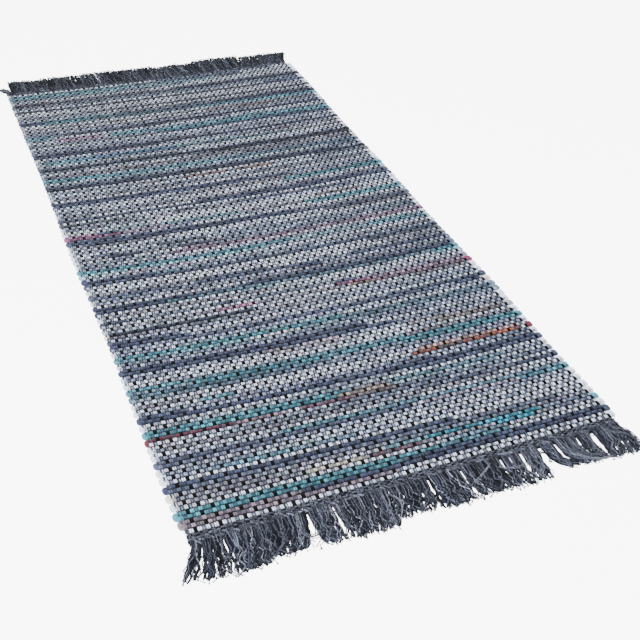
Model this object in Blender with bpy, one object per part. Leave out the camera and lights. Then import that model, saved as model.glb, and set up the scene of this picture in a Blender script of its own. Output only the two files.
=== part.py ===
"""Flat-woven rag rug with a header and a yarn fringe at both ends, lying flat on the floor.

Three closed bodies: the woven cloth with its rag rows raised as ribs, and a fringe for each end.
X runs across the rug, Y along it, Z is up and the floor is Z = 0. All sizes are in metres.
"""

import math
import random

import bmesh
import bpy

# Woven cloth
FIELD_WIDTH = 0.700
FIELD_LENGTH = 1.450
FIELD_SHIFT_X = 0.0070
FIELD_SHIFT_Y = -0.0031
ROW_COUNT = 170
RIB_HEIGHT = 0.0060
GROOVE_HEIGHT = 0.0046

# How the rag rows wander from straight lines
ROW_SAG = 0.008
ROW_TILT = 0.012
ROW_WANDER = 0.0012
FRONT_RISE = 0.0135
FRONT_RISE_DEPTH = 0.06
SAG_SETTLES_AT = 0.15

# Long edges, where each rag turns back in a loose loop
LEFT_REACH_FRONT = 0.0095
LEFT_REACH_BACK = 0.0040
RIGHT_REACH = 0.0095
LOOP_NOTCH = 0.0026
LOOP_JITTER = 0.0012
EDGE_WAVE = 0.0016
EDGE_ROUNDING = 0.0040
EDGE_SHOULDER = 0.45
FRONT_PULL_IN = 0.0045
FRONT_PULL_ROWS = 3

# Header and fringe
SEAM_GAP = 0.0003
HEADER_DEPTH = 0.0160
HEADER_HEIGHT = 0.0048
HEADER_OVERHANG = 0.0030
LOCK_PITCH = 0.0056
LOCK_GAP = 0.0004
LOCK_MAX_WIDTH = 0.0058
LOCK_HEIGHT = 0.0042
LOCK_TIP_HEIGHT = 0.0022
LOCK_TIP_WIDTH = 0.55
LENGTH_JITTER = 0.0040
CLUMP_WAVE = 0.0010
LEAN_POWER = 1.25
FRINGE_LONGEST = 0.0790
# Distances from the header at which every lock may bend
BEND_STATIONS = (0.0, 0.014, 0.032, 0.052, FRINGE_LONGEST)

# One row for each clump of yarns, across the rug from the left edge of the field:
# root_from, root_to, tip_from, tip_to, length, bow to the right halfway
FRONT_CLUMPS = (
    (0.001, 0.010, -0.0335, -0.013, 0.058, 0.000),
    (0.015, 0.040, -0.003, 0.038, 0.064, 0.000),
    (0.046, 0.098, 0.045, 0.092, 0.066, 0.001),
    (0.104, 0.163, 0.098, 0.150, 0.060, 0.000),
    (0.170, 0.202, 0.172, 0.203, 0.061, 0.000),
    (0.209, 0.238, 0.213, 0.238, 0.064, 0.001),
    (0.244, 0.262, 0.243, 0.259, 0.064, 0.000),
    (0.268, 0.290, 0.264, 0.283, 0.065, 0.000),
    (0.296, 0.309, 0.289, 0.303, 0.055, 0.001),
    (0.316, 0.337, 0.309, 0.330, 0.053, 0.001),
    (0.343, 0.354, 0.337, 0.351, 0.054, 0.000),
    (0.361, 0.409, 0.361, 0.411, 0.060, 0.000),
    (0.416, 0.477, 0.421, 0.475, 0.058, 0.000),
    (0.484, 0.493, 0.482, 0.491, 0.060, 0.000),
    (0.500, 0.512, 0.498, 0.509, 0.062, 0.000),
    (0.521, 0.546, 0.519, 0.539, 0.060, 0.000),
    (0.556, 0.574, 0.567, 0.583, 0.056, -0.002),
    (0.582, 0.615, 0.593, 0.617, 0.058, -0.001),
    (0.622, 0.641, 0.623, 0.640, 0.054, 0.000),
    (0.652, 0.699, 0.653, 0.702, 0.058, 0.006),
)
BACK_CLUMPS = (
    (0.001, 0.007, -0.018, -0.009, 0.034, 0.000),
    (0.013, 0.041, 0.013, 0.040, 0.070, 0.000),
    (0.047, 0.082, 0.047, 0.081, 0.066, 0.000),
    (0.090, 0.141, 0.090, 0.142, 0.070, 0.000),
    (0.150, 0.196, 0.152, 0.198, 0.070, 0.000),
    (0.204, 0.286, 0.206, 0.287, 0.073, -0.001),
    (0.294, 0.358, 0.298, 0.360, 0.072, -0.001),
    (0.364, 0.395, 0.367, 0.393, 0.062, 0.000),
    (0.402, 0.424, 0.400, 0.422, 0.068, 0.000),
    (0.431, 0.442, 0.429, 0.436, 0.062, -0.001),
    (0.453, 0.469, 0.444, 0.461, 0.064, 0.001),
    (0.476, 0.493, 0.473, 0.494, 0.074, 0.000),
    (0.502, 0.546, 0.503, 0.546, 0.075, 0.000),
    (0.553, 0.580, 0.557, 0.586, 0.073, 0.000),
    (0.587, 0.640, 0.600, 0.660, 0.064, 0.000),
    (0.647, 0.699, 0.669, 0.7215, 0.061, 0.000),
)

# Stations across the cloth, as shares of its width between the rounded edges
INNER_STATIONS = (0.25, 0.5, 0.75)


def smooth(share):
    """Ease a share from 0 to 1 with level ends."""
    share = min(1.0, max(0.0, share))
    return share * share * (3.0 - 2.0 * share)


def mix(start, end, share):
    """Return the value a share of the way from start to end."""
    return start + (end - start) * share


def across(place):
    """Turn a distance from the field's left edge into a world X."""
    return place - FIELD_WIDTH / 2 + FIELD_SHIFT_X


def row_y(along, place):
    """World Y of the row line at a share of the length and a distance across."""
    side = place / FIELD_WIDTH
    settled = min(1.0, along / SAG_SETTLES_AT)
    sag = -ROW_SAG * 4.0 * side * (1.0 - side) * settled
    tilt = ROW_TILT * along * (side - 0.5)
    rise = FRONT_RISE * max(0.0, side) ** 2 * max(0.0, 1.0 - along / FRONT_RISE_DEPTH)
    turn = 2.0 * math.pi * (1.3 * side + 5.1 * along)
    wander = ROW_WANDER * math.sin(turn) * math.sin(math.pi * along)
    return (along - 0.5) * FIELD_LENGTH + FIELD_SHIFT_Y + sag + tilt + rise + wander


def edge_places(line, chance):
    """Distances across of the cloth's left and right edge on one row line.

    Odd lines are ribs and even lines are the grooves between them. A rag turns
    around every second groove at each side, and the other side takes the rest.
    """
    along = line / (2 * ROW_COUNT)
    groove = line % 2 == 0
    left = mix(LEFT_REACH_FRONT, LEFT_REACH_BACK, along)
    right = RIGHT_REACH
    left += EDGE_WAVE * math.sin(2.0 * math.pi * (2.3 * along + 0.1))
    right += EDGE_WAVE * math.sin(2.0 * math.pi * (3.1 * along + 0.4))
    pull = FRONT_PULL_IN * (1.0 - smooth(line / (2 * FRONT_PULL_ROWS)))
    left += chance.uniform(-LOOP_JITTER, LOOP_JITTER) - pull
    right += chance.uniform(-LOOP_JITTER, LOOP_JITTER) - pull
    if groove and line % 4 == 0:
        left -= LOOP_NOTCH
    if groove and line % 4 == 2:
        right -= LOOP_NOTCH
    return -left, FIELD_WIDTH + right


def add_object(name, mesh_data, colour):
    """Store a mesh as a named object with its own material."""
    mesh = bpy.data.meshes.new(name)
    bmesh.ops.recalc_face_normals(mesh_data, faces=mesh_data.faces)
    mesh_data.to_mesh(mesh)
    mesh_data.free()
    thing = bpy.data.objects.new(name, mesh)
    bpy.context.scene.collection.objects.link(thing)
    material = bpy.data.materials.new(name + "_yarn")
    material.use_nodes = True
    shader = material.node_tree.nodes["Principled BSDF"]
    shader.inputs["Base Color"].default_value = colour
    shader.inputs["Roughness"].default_value = 0.95
    mesh.materials.append(material)
    return thing


def cloth_lines():
    """Lay out the row lines: each is a list of distance across, world Y and height.

    The first and last point of a line are the cloth's edges at their shoulder, and
    the points between them are on its top.
    """
    chance = random.Random(7)
    lines = []
    for line in range(2 * ROW_COUNT + 1):
        along = line / (2 * ROW_COUNT)
        height = GROOVE_HEIGHT if line % 2 == 0 else RIB_HEIGHT
        left, right = edge_places(line, chance)
        inner_left, inner_right = left + EDGE_ROUNDING, right - EDGE_ROUNDING
        tops = [inner_left]
        tops += [mix(inner_left, inner_right, share) for share in INNER_STATIONS]
        tops += [inner_right]
        spots = [(x, row_y(along, x), height) for x in tops]
        shoulder = height * EDGE_SHOULDER
        first = (left, row_y(along, left), shoulder)
        last = (right, row_y(along, right), shoulder)
        lines.append([first] + spots + [last])
    return lines


def line_y(line, place):
    """World Y on a row line at a distance across, straight between its points."""
    for near, far in zip(line, line[1:]):
        if place <= far[0]:
            break
    return mix(near[1], far[1], (place - near[0]) / (far[0] - near[0]))


def build_cloth(lines):
    """Build the woven cloth: a thin slab with a rib for each rag row."""
    body = bmesh.new()
    tops = [[body.verts.new((across(x), y, z)) for x, y, z in line] for line in lines]
    floors = []
    for line in lines:
        under = line if line in (lines[0], lines[-1]) else (line[0], line[-1])
        floors.append([body.verts.new((across(x), y, 0.0)) for x, y, _ in under])
    for near, far, near_floor, far_floor in zip(tops, tops[1:], floors, floors[1:]):
        for spot in range(len(near) - 1):
            body.faces.new((near[spot], near[spot + 1], far[spot + 1], far[spot]))
        body.faces.new((near_floor[0], near[0], far[0], far_floor[0]))
        body.faces.new((near[-1], near_floor[-1], far_floor[-1], far[-1]))
        body.faces.new(near_floor + far_floor[::-1])
    for top, floor in ((tops[0], floors[0]), (tops[-1], floors[-1])):
        for spot in range(len(top) - 1):
            body.faces.new((floor[spot], floor[spot + 1], top[spot + 1], top[spot]))
    return add_object("woven_cloth", body, (0.42, 0.43, 0.47, 1.0))


def lock_centres(clumps, chance):
    """List the locks of a fringe from left to right.

    Each lock is its length and its distance across at every bend station.
    """
    locks = []
    for root_from, root_to, tip_from, tip_to, length, bow in clumps:
        count = max(2, round((root_to - root_from) / LOCK_PITCH) + 1)
        swing = chance.uniform(0.0, 2.0 * math.pi)
        for number in range(count):
            share = number / (count - 1)
            root = mix(root_from, root_to, share)
            tip = mix(tip_from, tip_to, share)
            own = length + chance.uniform(-LENGTH_JITTER, LENGTH_JITTER)
            places = []
            for reach in BEND_STATIONS:
                part = reach / length
                bend = CLUMP_WAVE * math.sin(swing + 5.0 * part) * smooth(2.0 * part)
                bend += bow * (0.3 + 0.7 * share) * math.sin(math.pi * min(1.0, part))
                places.append(root + (tip - root) * part ** LEAN_POWER + bend)
            locks.append((min(own, FRINGE_LONGEST), places))
    return locks


def lock_widths(locks, station):
    """Half widths of all the locks at one station, kept clear of their neighbours."""
    places = [lock[1][station] for lock in locks]
    steps = [far - near for near, far in zip(places, places[1:])]
    room = [steps[0]] + [min(pair) for pair in zip(steps, steps[1:])] + [steps[-1]]
    taper = mix(1.0, LOCK_TIP_WIDTH, station / (len(BEND_STATIONS) - 1))
    return [(min(LOCK_MAX_WIDTH, gap) - LOCK_GAP) / 2 * taper for gap in room]


def build_fringe(name, clumps, cloth_end, facing, seed):
    """Build a header strip with its locks of yarn.

    Args:
        name: the object's name.
        clumps: the table of clumps for this end.
        cloth_end: the row line at this end of the cloth.
        facing: -1 where the yarns run towards the front and 1 towards the back.
        seed: the start of this fringe's random draws.
    """
    chance = random.Random(seed)
    body = bmesh.new()
    locks = lock_centres(clumps, chance)
    halves = [lock_widths(locks, station) for station in range(len(BEND_STATIONS))]

    def spot(place, reach, height):
        seam = line_y(cloth_end, min(max(place, -HEADER_OVERHANG), FIELD_WIDTH + HEADER_OVERHANG))
        return body.verts.new((across(place), seam + facing * (SEAM_GAP + reach), height))

    def header_station(place):
        return [
            spot(place, 0.0, 0.0),
            spot(place, 0.0, HEADER_HEIGHT),
            spot(place, HEADER_DEPTH, LOCK_HEIGHT),
            spot(place, HEADER_DEPTH, 0.0),
        ]

    stations = [header_station(-HEADER_OVERHANG)]
    roots = []
    for number, lock in enumerate(locks):
        centre, half = lock[1][0], halves[0][number]
        stations.append(header_station(centre - half))
        stations.append(header_station(centre + half))
        roots.append(len(stations) - 2)
    stations.append(header_station(FIELD_WIDTH + HEADER_OVERHANG))

    for number, (left, right) in enumerate(zip(stations, stations[1:])):
        sides = (0, 1, 3) if number in roots else (0, 1, 2, 3)
        for side in sides:
            other = (side + 1) % 4
            body.faces.new((left[side], left[other], right[other], right[side]))
    body.faces.new(stations[0][::-1])
    body.faces.new(stations[-1])

    for number, (length, places) in enumerate(locks):
        left, right = stations[roots[number]], stations[roots[number] + 1]
        ring = [left[3], left[2], right[2], right[3]]
        for station in range(1, len(BEND_STATIONS)):
            near, far = BEND_STATIONS[station - 1], BEND_STATIONS[station]
            share = min(1.0, (length - near) / (far - near))
            centre = mix(places[station - 1], places[station], share)
            half = mix(halves[station - 1][number], halves[station][number], share)
            reach = mix(near, far, share)
            height = mix(LOCK_HEIGHT, LOCK_TIP_HEIGHT, reach / length)
            corners = ((centre - half, 0.0), (centre - half, height),
                       (centre + half, height), (centre + half, 0.0))
            following = [spot(x, HEADER_DEPTH + reach, z) for x, z in corners]
            for side in range(4):
                other = (side + 1) % 4
                body.faces.new((ring[side], ring[other], following[other], following[side]))
            ring = following
            if share < 1.0 or length <= far:
                break
        body.faces.new(ring)
    return add_object(name, body, (0.07, 0.075, 0.10, 1.0))


def centre_over_origin(things):
    """Slide all the pieces together so that their common outline is centred on X and Y."""
    spots = [vertex.co for thing in things for vertex in thing.data.vertices]
    for axis in (0, 1):
        middle = (min(spot[axis] for spot in spots) + max(spot[axis] for spot in spots)) / 2
        for spot in spots:
            spot[axis] -= middle


def main():
    """Clear the scene and build the rug."""
    for thing in list(bpy.data.objects):
        bpy.data.objects.remove(thing, do_unlink=True)
    lines = cloth_lines()
    things = [
        build_cloth(lines),
        build_fringe("fringe_front", FRONT_CLUMPS, lines[0], -1, 21),
        build_fringe("fringe_back", BACK_CLUMPS, lines[-1], 1, 22),
    ]
    centre_over_origin(things)


main()
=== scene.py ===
"""Flat-woven rag rug, dressed for its picture.

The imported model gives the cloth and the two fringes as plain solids. This script weaves them:
rag rows under a grey and black warp, loops along both long edges, a dark header at each end,
and fringes of plied yarn. Sizes are in metres unless said otherwise, X runs across the rug, Y
along it, and Z is up.
"""

import logging
import math
from dataclasses import dataclass, field
from enum import Enum

import bpy
import numpy as np
from mathutils import Euler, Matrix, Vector


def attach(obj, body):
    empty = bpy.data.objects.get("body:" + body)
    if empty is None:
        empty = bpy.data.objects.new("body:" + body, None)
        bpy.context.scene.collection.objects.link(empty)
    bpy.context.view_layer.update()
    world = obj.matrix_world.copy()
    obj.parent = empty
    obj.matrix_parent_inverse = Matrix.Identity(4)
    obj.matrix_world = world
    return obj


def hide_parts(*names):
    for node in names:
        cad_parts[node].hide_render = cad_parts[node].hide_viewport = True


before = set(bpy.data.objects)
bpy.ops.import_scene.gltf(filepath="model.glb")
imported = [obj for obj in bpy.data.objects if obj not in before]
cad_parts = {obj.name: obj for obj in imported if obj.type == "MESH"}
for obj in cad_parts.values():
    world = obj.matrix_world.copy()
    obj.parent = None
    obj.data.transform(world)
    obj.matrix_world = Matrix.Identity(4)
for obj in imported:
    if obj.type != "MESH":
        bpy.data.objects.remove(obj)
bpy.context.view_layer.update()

log = logging.getLogger("rug")

BODY = "root"
CLOTH_SLOT = "woven_cloth"
YARN_SLOT = "fringe_yarn"
BAKE_MAP = "OFBake"
TWIST_MAP = "Twist"
DRAFT_MAP = "Draft"
DYE_ATTRIBUTE = "Dye"
EYE_POWER = 2.2
MILLIMETRES = 1000.0
UP = np.array([0.0, 0.0, 1.0])
# Painted shade: the share of colour left at the pointed ends of every float, where a warp float
# dives between rows
FLOAT_END_SHADE = 0.3

# Where the flat baking map's parts for faces that look up and down start, and how deep they are
UPPER_START, UPPER_DEPTH = 0.005, 0.9
UNDER_START, UNDER_DEPTH = 0.925, 0.07

Pair = tuple[float, float]
Triple = tuple[float, float, float]


class Dye(Enum):
    """The cloth and yarn colours, as red, green and blue from 0 to 255 on screen."""

    WHITE = (222, 231, 250)
    CREAM = (234, 226, 208)
    GREIGE = (142, 142, 157)
    LAVENDER = (160, 169, 198)
    PALE_GREY = (136, 150, 172)
    DUSTY_PINK = (131, 108, 117)
    PINK = (148, 76, 118)
    MAGENTA = (121, 48, 85)
    MAUVE = (132, 98, 127)
    PEACH = (176, 104, 92)
    RED = (96, 46, 58)
    ORANGE = (163, 84, 56)
    OCHRE = (136, 112, 74)
    BROWN = (94, 77, 73)
    GREY_GREEN = (62, 80, 84)
    PALE_TEAL = (68, 152, 166)
    TEAL = (68, 138, 155)
    SLATE_TEAL = (67, 101, 118)
    TURQUOISE = (32, 144, 170)
    BLUE = (56, 102, 141)
    SLATE = (58, 67, 96)
    BLUE_GREY = (68, 75, 100)
    NAVY = (55, 62, 89)
    NAVY_BLUE = (71, 96, 152)
    DARK_NAVY = (37, 41, 61)
    CHARCOAL = (34, 37, 48)
    WARP_PALE = (80, 88, 106)
    WARP_GREY = (57, 64, 82)
    WARP_SLATE = (42, 48, 65)
    WARP_BLACK = (4, 5, 9)
    FRINGE = (66, 69, 81)
    FRINGE_PALE = (102, 106, 120)
    FRINGE_BLUE = (50, 55, 70)
    # Also used as painted shade: the colour of the header's floor strip and the fringe's mat
    FRINGE_DARK = (15, 17, 23)

    @property
    def light(self) -> np.ndarray:
        """The colour as linear light."""
        share = np.array(self.value, float) / 255.0
        return np.where(share <= 0.04045, share / 12.92, ((share + 0.055) / 1.055) ** 2.4)


@dataclass(frozen=True)
class Stripe:
    """A stretch of coloured rag: its dye, its row, where it starts and ends across the rug in
    millimetres, and how fully the dye covers the rag."""

    dye: Dye
    row: int
    start: int
    end: int
    strength: float = 1.0


# The stripes, charted and sorted by dye: the row from the front, where the stripe starts and ends
# across the rug in millimetres, and how fully the dye covers the rag where not all of it
CHART = {
    Dye.WHITE: (
        (0, 0, 700), (1, 330, 450), (1, 460, 700), (4, 530, 700), (5, 0, 420), (5, 520, 700),
        (11, 0, 700), (105, 200, 240), (169, 0, 240),
    ),
    Dye.CREAM: (
        (6, 200, 290),
    ),
    Dye.DUSTY_PINK: (
        (1, 0, 330, 0.75), (2, 0, 175, 0.8), (24, 330, 400, 0.3), (45, 250, 300, 0.3),
        (90, 440, 500, 0.3),
    ),
    Dye.PINK: (
        (16, 430, 600, 0.3), (56, 200, 270, 0.7), (75, 80, 120, 0.3), (75, 150, 200, 0.3),
        (79, 180, 500, 0.2), (91, 0, 100, 0.85), (91, 100, 200, 0.4), (92, 0, 60, 0.6),
        (139, 70, 160, 0.6), (140, 60, 160, 0.4),
    ),
    Dye.MAGENTA: (
        (57, 420, 500, 0.8), (57, 500, 700, 0.5),
    ),
    Dye.MAUVE: (
        (58, 500, 700, 0.4), (80, 170, 700, 0.9), (81, 200, 260, 0.7), (81, 560, 700, 0.5),
        (130, 120, 250, 0.5),
    ),
    Dye.PEACH: (
        (40, 300, 370, 0.25),
    ),
    Dye.RED: (
        (6, 300, 385, 0.7), (22, 0, 130), (22, 130, 210, 0.6), (22, 240, 330, 0.75), (30, 696, 700),
        (56, 500, 700, 0.5), (130, 540, 580, 0.5),
    ),
    Dye.ORANGE: (
        (30, 470, 520), (30, 570, 685), (31, 480, 685, 0.6), (112, 280, 380, 0.5),
        (112, 400, 480, 0.5),
    ),
    Dye.OCHRE: (
        (23, 310, 400, 0.7), (38, 550, 620, 0.5), (56, 450, 500, 0.6),
    ),
    Dye.BROWN: (
        (22, 330, 410, 0.8), (30, 520, 570), (38, 620, 690, 0.8), (39, 250, 400, 0.4),
        (39, 500, 700, 0.5), (40, 230, 280, 0.5), (94, 520, 620, 0.75), (112, 180, 240, 0.5),
        (146, 500, 590, 0.7),
    ),
    Dye.GREY_GREEN: (
        (53, 140, 220, 0.6), (79, 100, 150, 0.5), (97, 0, 130, 0.9), (137, 0, 300, 0.3),
        (149, 50, 400, 0.5),
    ),
    Dye.PALE_TEAL: (
        (5, 420, 520, 0.4), (30, 100, 160, 0.8), (76, 0, 350, 0.6), (77, 400, 580, 0.5),
        (92, 180, 350, 0.5), (140, 170, 260, 0.5), (141, 480, 560, 0.4),
    ),
    Dye.TEAL: (
        (3, 0, 340), (4, 0, 420), (4, 420, 530, 0.8), (7, 330, 400, 0.7), (12, 75, 200, 0.7),
        (16, 610, 700), (17, 190, 360, 0.85), (17, 360, 700, 0.6), (23, 0, 310), (24, 0, 330),
        (24, 400, 620, 0.6), (34, 470, 700), (35, 100, 700), (36, 0, 80), (36, 80, 480, 0.65),
        (45, 0, 220, 0.7), (46, 0, 400), (47, 100, 400, 0.5), (61, 260, 320, 0.4),
        (61, 650, 700, 0.7), (62, 650, 700), (77, 0, 400), (77, 580, 700, 0.9), (78, 580, 670, 0.6),
        (91, 500, 700, 0.8), (92, 480, 700, 0.9), (93, 80, 160, 0.4), (103, 470, 700, 0.6),
        (104, 480, 700), (105, 640, 700, 0.5), (117, 100, 450, 0.4), (118, 0, 380, 0.9),
        (119, 0, 120, 0.9), (127, 20, 120, 0.7), (128, 0, 80, 0.7), (129, 300, 450, 0.4),
        (138, 280, 540, 0.9), (138, 600, 700), (139, 180, 250, 0.8), (139, 250, 700, 0.8),
        (141, 0, 60, 0.6), (142, 0, 60, 0.8), (148, 540, 700, 0.6), (149, 400, 700, 0.9),
        (150, 50, 150), (152, 30, 200, 0.3), (166, 0, 500, 0.4), (167, 0, 280, 0.8),
    ),
    Dye.SLATE_TEAL: (
        (7, 670, 700, 0.6), (8, 330, 580, 0.45), (12, 200, 300, 0.6), (13, 100, 360, 0.35),
        (18, 360, 430, 0.5), (23, 400, 600, 0.5), (25, 50, 420, 0.4), (33, 0, 300, 0.5),
        (34, 0, 330, 0.9), (35, 0, 100, 0.5), (45, 320, 700, 0.6), (46, 400, 700, 0.6),
        (55, 0, 100, 0.4), (62, 120, 270), (62, 270, 650, 0.9), (73, 130, 180, 0.8),
        (118, 380, 700, 0.8), (119, 120, 700, 0.5), (128, 300, 570, 0.8), (140, 380, 700, 0.4),
        (150, 150, 320), (151, 50, 200, 0.7), (151, 200, 450, 0.4), (167, 280, 500, 0.7),
        (168, 0, 400, 0.8),
    ),
    Dye.TURQUOISE: (
        (6, 515, 590), (7, 400, 600),
    ),
    Dye.BLUE: (
        (128, 80, 300, 0.8), (129, 20, 300, 0.5), (138, 540, 600),
    ),
    Dye.SLATE: (
        (21, 300, 440, 0.6), (49, 260, 610, 0.7), (58, 280, 400, 0.4), (63, 170, 260, 0.6),
        (64, 270, 700, 0.6), (92, 60, 100), (127, 120, 320, 0.6), (137, 300, 500),
        (169, 350, 650, 0.7),
    ),
    Dye.BLUE_GREY: (
        (20, 560, 620, 0.4), (21, 60, 300, 0.4), (21, 500, 620, 0.5), (22, 410, 700, 0.3),
        (26, 270, 450, 0.5), (49, 100, 220, 0.6), (50, 130, 600, 0.5), (54, 260, 550, 0.3),
        (66, 30, 200, 0.3), (123, 200, 370, 0.4), (133, 0, 700, 0.3), (143, 0, 260, 0.6),
        (153, 0, 170, 0.4),
    ),
    Dye.NAVY: (
        (2, 175, 700), (3, 340, 700), (9, 0, 650, 0.75), (10, 0, 460), (15, 0, 180, 0.5),
        (16, 0, 410, 0.85), (20, 500, 560, 0.8), (20, 620, 700, 0.9), (21, 440, 500, 0.7),
        (26, 450, 700, 0.8), (27, 0, 700), (28, 0, 70), (28, 270, 500, 0.6), (37, 50, 100, 0.4),
        (41, 0, 480, 0.9), (42, 0, 430), (43, 260, 420, 0.45), (49, 220, 260, 0.8), (49, 640, 690),
        (50, 0, 130), (50, 600, 700, 0.9), (51, 0, 120, 0.9), (58, 0, 40), (58, 190, 240, 0.6),
        (58, 430, 470, 0.7), (62, 0, 120), (63, 0, 170), (63, 260, 700), (66, 380, 430),
        (67, 0, 140, 0.7), (67, 190, 430, 0.75), (67, 490, 700, 0.8), (68, 200, 330, 0.6),
        (68, 420, 460, 0.6), (72, 0, 700, 0.9), (73, 0, 130), (81, 70, 100, 0.7),
        (81, 260, 480, 0.6), (83, 30, 80, 0.8), (88, 30, 450), (88, 450, 700, 0.8),
        (89, 0, 450, 0.9), (90, 0, 100, 0.8), (99, 0, 280, 0.8), (99, 280, 700),
        (100, 270, 700, 0.9), (106, 0, 500, 0.8), (107, 0, 400, 0.9), (131, 0, 270),
        (136, 570, 700, 0.7), (137, 500, 700, 0.8), (142, 380, 470, 0.7), (150, 0, 50),
        (150, 320, 700, 0.8), (151, 0, 50), (158, 580, 700, 0.9), (159, 600, 700, 0.7),
        (168, 400, 570, 0.8),
    ),
    Dye.NAVY_BLUE: (
        (6, 620, 700, 0.25), (7, 600, 670, 0.45),
    ),
    Dye.DARK_NAVY: (
        (54, 0, 260), (82, 60, 120, 0.9), (82, 190, 250, 0.8), (114, 0, 700), (115, 0, 650, 0.8),
        (132, 0, 700, 0.9), (142, 90, 300, 0.7), (143, 260, 700), (151, 450, 700, 0.9),
        (162, 0, 60), (162, 390, 700),
    ),
    Dye.CHARCOAL: (
        (68, 500, 700, 0.5), (70, 550, 700, 0.4), (71, 540, 700, 0.8), (81, 500, 560, 0.5),
        (82, 600, 640, 0.5), (84, 160, 250, 0.8), (87, 510, 700, 0.8), (97, 220, 260, 0.6),
        (97, 330, 600, 0.6), (113, 580, 700, 0.7), (122, 320, 600, 0.5), (123, 370, 700),
        (124, 0, 700), (125, 0, 300, 0.4), (154, 0, 700, 0.5), (158, 0, 580, 0.8),
        (162, 60, 390, 0.6), (163, 380, 700, 0.6), (167, 500, 570, 0.6),
    ),
}
STRIPES = tuple(Stripe(dye, *line) for dye, lines in CHART.items() for line in lines)

# The few edge loops whose colour isn't that of the rag beside them, by side and row
LOOP_DYES = {
    ("left", 7): Dye.CREAM, ("left", 53): Dye.CREAM, ("left", 165): Dye.TURQUOISE,
    ("right", 6): Dye.TURQUOISE, ("right", 30): Dye.RED, ("right", 48): Dye.CREAM,
    ("right", 50): Dye.NAVY, ("right", 56): Dye.MAGENTA, ("right", 80): Dye.PINK,
    ("left", 113): Dye.CHARCOAL, ("right", 114): Dye.CHARCOAL,
}


@dataclass(frozen=True)
class Clump:
    """A clump of fringe yarns: where it leaves the header, where its tips lie, how long it
    is beyond the header, how far it bows to the right halfway, and how far its tips swing."""

    root_from: float
    root_to: float
    tip_from: float
    tip_to: float
    length: float
    bow: float = 0.0
    swing: float = 0.0


def clumps(*lines: tuple[float, ...]) -> tuple[Clump, ...]:
    """Make clumps from lines in millimetres."""
    return tuple(Clump(*(size / MILLIMETRES for size in line)) for line in lines)


# The fringe's clumps, each with its sizes in the order that a Clump has them
FRONT_CLUMPS = clumps(
    (1, 10, -33.5, -13, 58), (15, 40, -3, 38, 64), (46, 98, 45, 92, 66, 1),
    (104, 163, 98, 150, 60, 0, -4), (170, 202, 172, 203, 61), (209, 238, 213, 238, 64, 1),
    (244, 262, 243, 259, 64), (268, 290, 264, 283, 65), (296, 309, 289, 303, 55, 1),
    (316, 337, 309, 330, 53, 1), (343, 354, 337, 351, 54), (361, 409, 361, 411, 60),
    (416, 477, 421, 475, 58, 0, 4), (484, 493, 482, 491, 60), (500, 512, 498, 509, 62),
    (521, 546, 519, 539, 60), (556, 574, 567, 583, 56, -2, 12), (582, 615, 593, 617, 58, -1, 13),
    (622, 641, 623, 640, 54, 0, 6), (652, 699, 653, 702, 58, 6),
)
BACK_CLUMPS = clumps(
    (1, 7, -18, -9, 34), (13, 41, 13, 40, 70), (47, 82, 47, 81, 66), (90, 141, 90, 142, 70),
    (150, 196, 152, 198, 70), (204, 286, 206, 287, 73, -1), (294, 358, 298, 360, 72, -1),
    (364, 395, 367, 393, 62), (402, 424, 400, 422, 68), (431, 442, 429, 436, 62, -1),
    (453, 469, 444, 461, 64, 1), (476, 493, 473, 494, 74), (502, 546, 503, 546, 75),
    (553, 580, 557, 586, 73), (587, 640, 600, 660, 64), (647, 699, 669, 721.5, 61),
)


@dataclass(frozen=True)
class Stray:
    """A yarn or a few that lie astray over the fringe: where they start, bend and end, in
    millimetres across and outwards from the cloth, how many there are, and their colour."""

    start: Pair
    bend: Pair
    end: Pair
    count: int
    dye: Dye


FRONT_STRAYS = (
    Stray((34, 40), (43, 47), (53, 43), 1, Dye.FRINGE),
    Stray((34, 50), (43, 55), (53, 51), 1, Dye.FRINGE),
    Stray((34, 59), (43, 64), (53, 59), 1, Dye.FRINGE_DARK),
    Stray((72, 20), (69, 48), (58, 79), 2, Dye.FRINGE_BLUE),
    Stray((146, 46), (160, 60), (176, 52), 4, Dye.FRINGE),
    Stray((196, 24), (214, 40), (205, 70), 3, Dye.FRINGE),
    Stray((286, 22), (300, 46), (287, 74), 2, Dye.FRINGE_PALE),
    Stray((462, 18), (446, 32), (418, 48), 2, Dye.FRINGE_PALE),
    Stray((470, 28), (492, 40), (520, 36), 2, Dye.FRINGE_PALE),
    Stray((547, 26), (556, 34), (553, 46), 3, Dye.FRINGE_DARK),
    Stray((590, 30), (612, 52), (644, 60), 4, Dye.FRINGE),
    Stray((596, 40), (618, 66), (650, 70), 3, Dye.FRINGE_PALE),
    Stray((680, 18), (704, 28), (712, 50), 5, Dye.FRINGE),
    Stray((664, 20), (700, 40), (706, 66), 5, Dye.FRINGE),
)
BACK_STRAYS = (
    Stray((4, 18), (-6, 30), (-18, 34), 2, Dye.FRINGE_PALE),
    Stray((420, 24), (438, 48), (428, 74), 4, Dye.FRINGE),
    Stray((446, 24), (432, 44), (440, 70), 3, Dye.FRINGE_PALE),
    Stray((548, 24), (556, 50), (548, 78), 3, Dye.FRINGE),
)


def smooth(share: np.ndarray) -> np.ndarray:
    """Ease shares from 0 to 1 with level ends."""
    share = np.clip(share, 0.0, 1.0)
    return share * share * (3.0 - 2.0 * share)


def blend(first: np.ndarray, second: np.ndarray, share: np.ndarray | float) -> np.ndarray:
    """Mix two linear colours evenly to the eye rather than by their light."""
    one, two = first ** (1.0 / EYE_POWER), second ** (1.0 / EYE_POWER)
    return (one + (two - one) * share) ** EYE_POWER


def unit(ways: np.ndarray) -> np.ndarray:
    """Scale vectors to a length of 1."""
    return ways / np.linalg.norm(ways, axis=-1, keepdims=True)


def level_side(ways: np.ndarray) -> np.ndarray:
    """Level vectors to the right of others, as long as those look from above."""
    return np.stack([ways[..., 1], -ways[..., 0], np.zeros(ways.shape[:-1])], -1)


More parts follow.
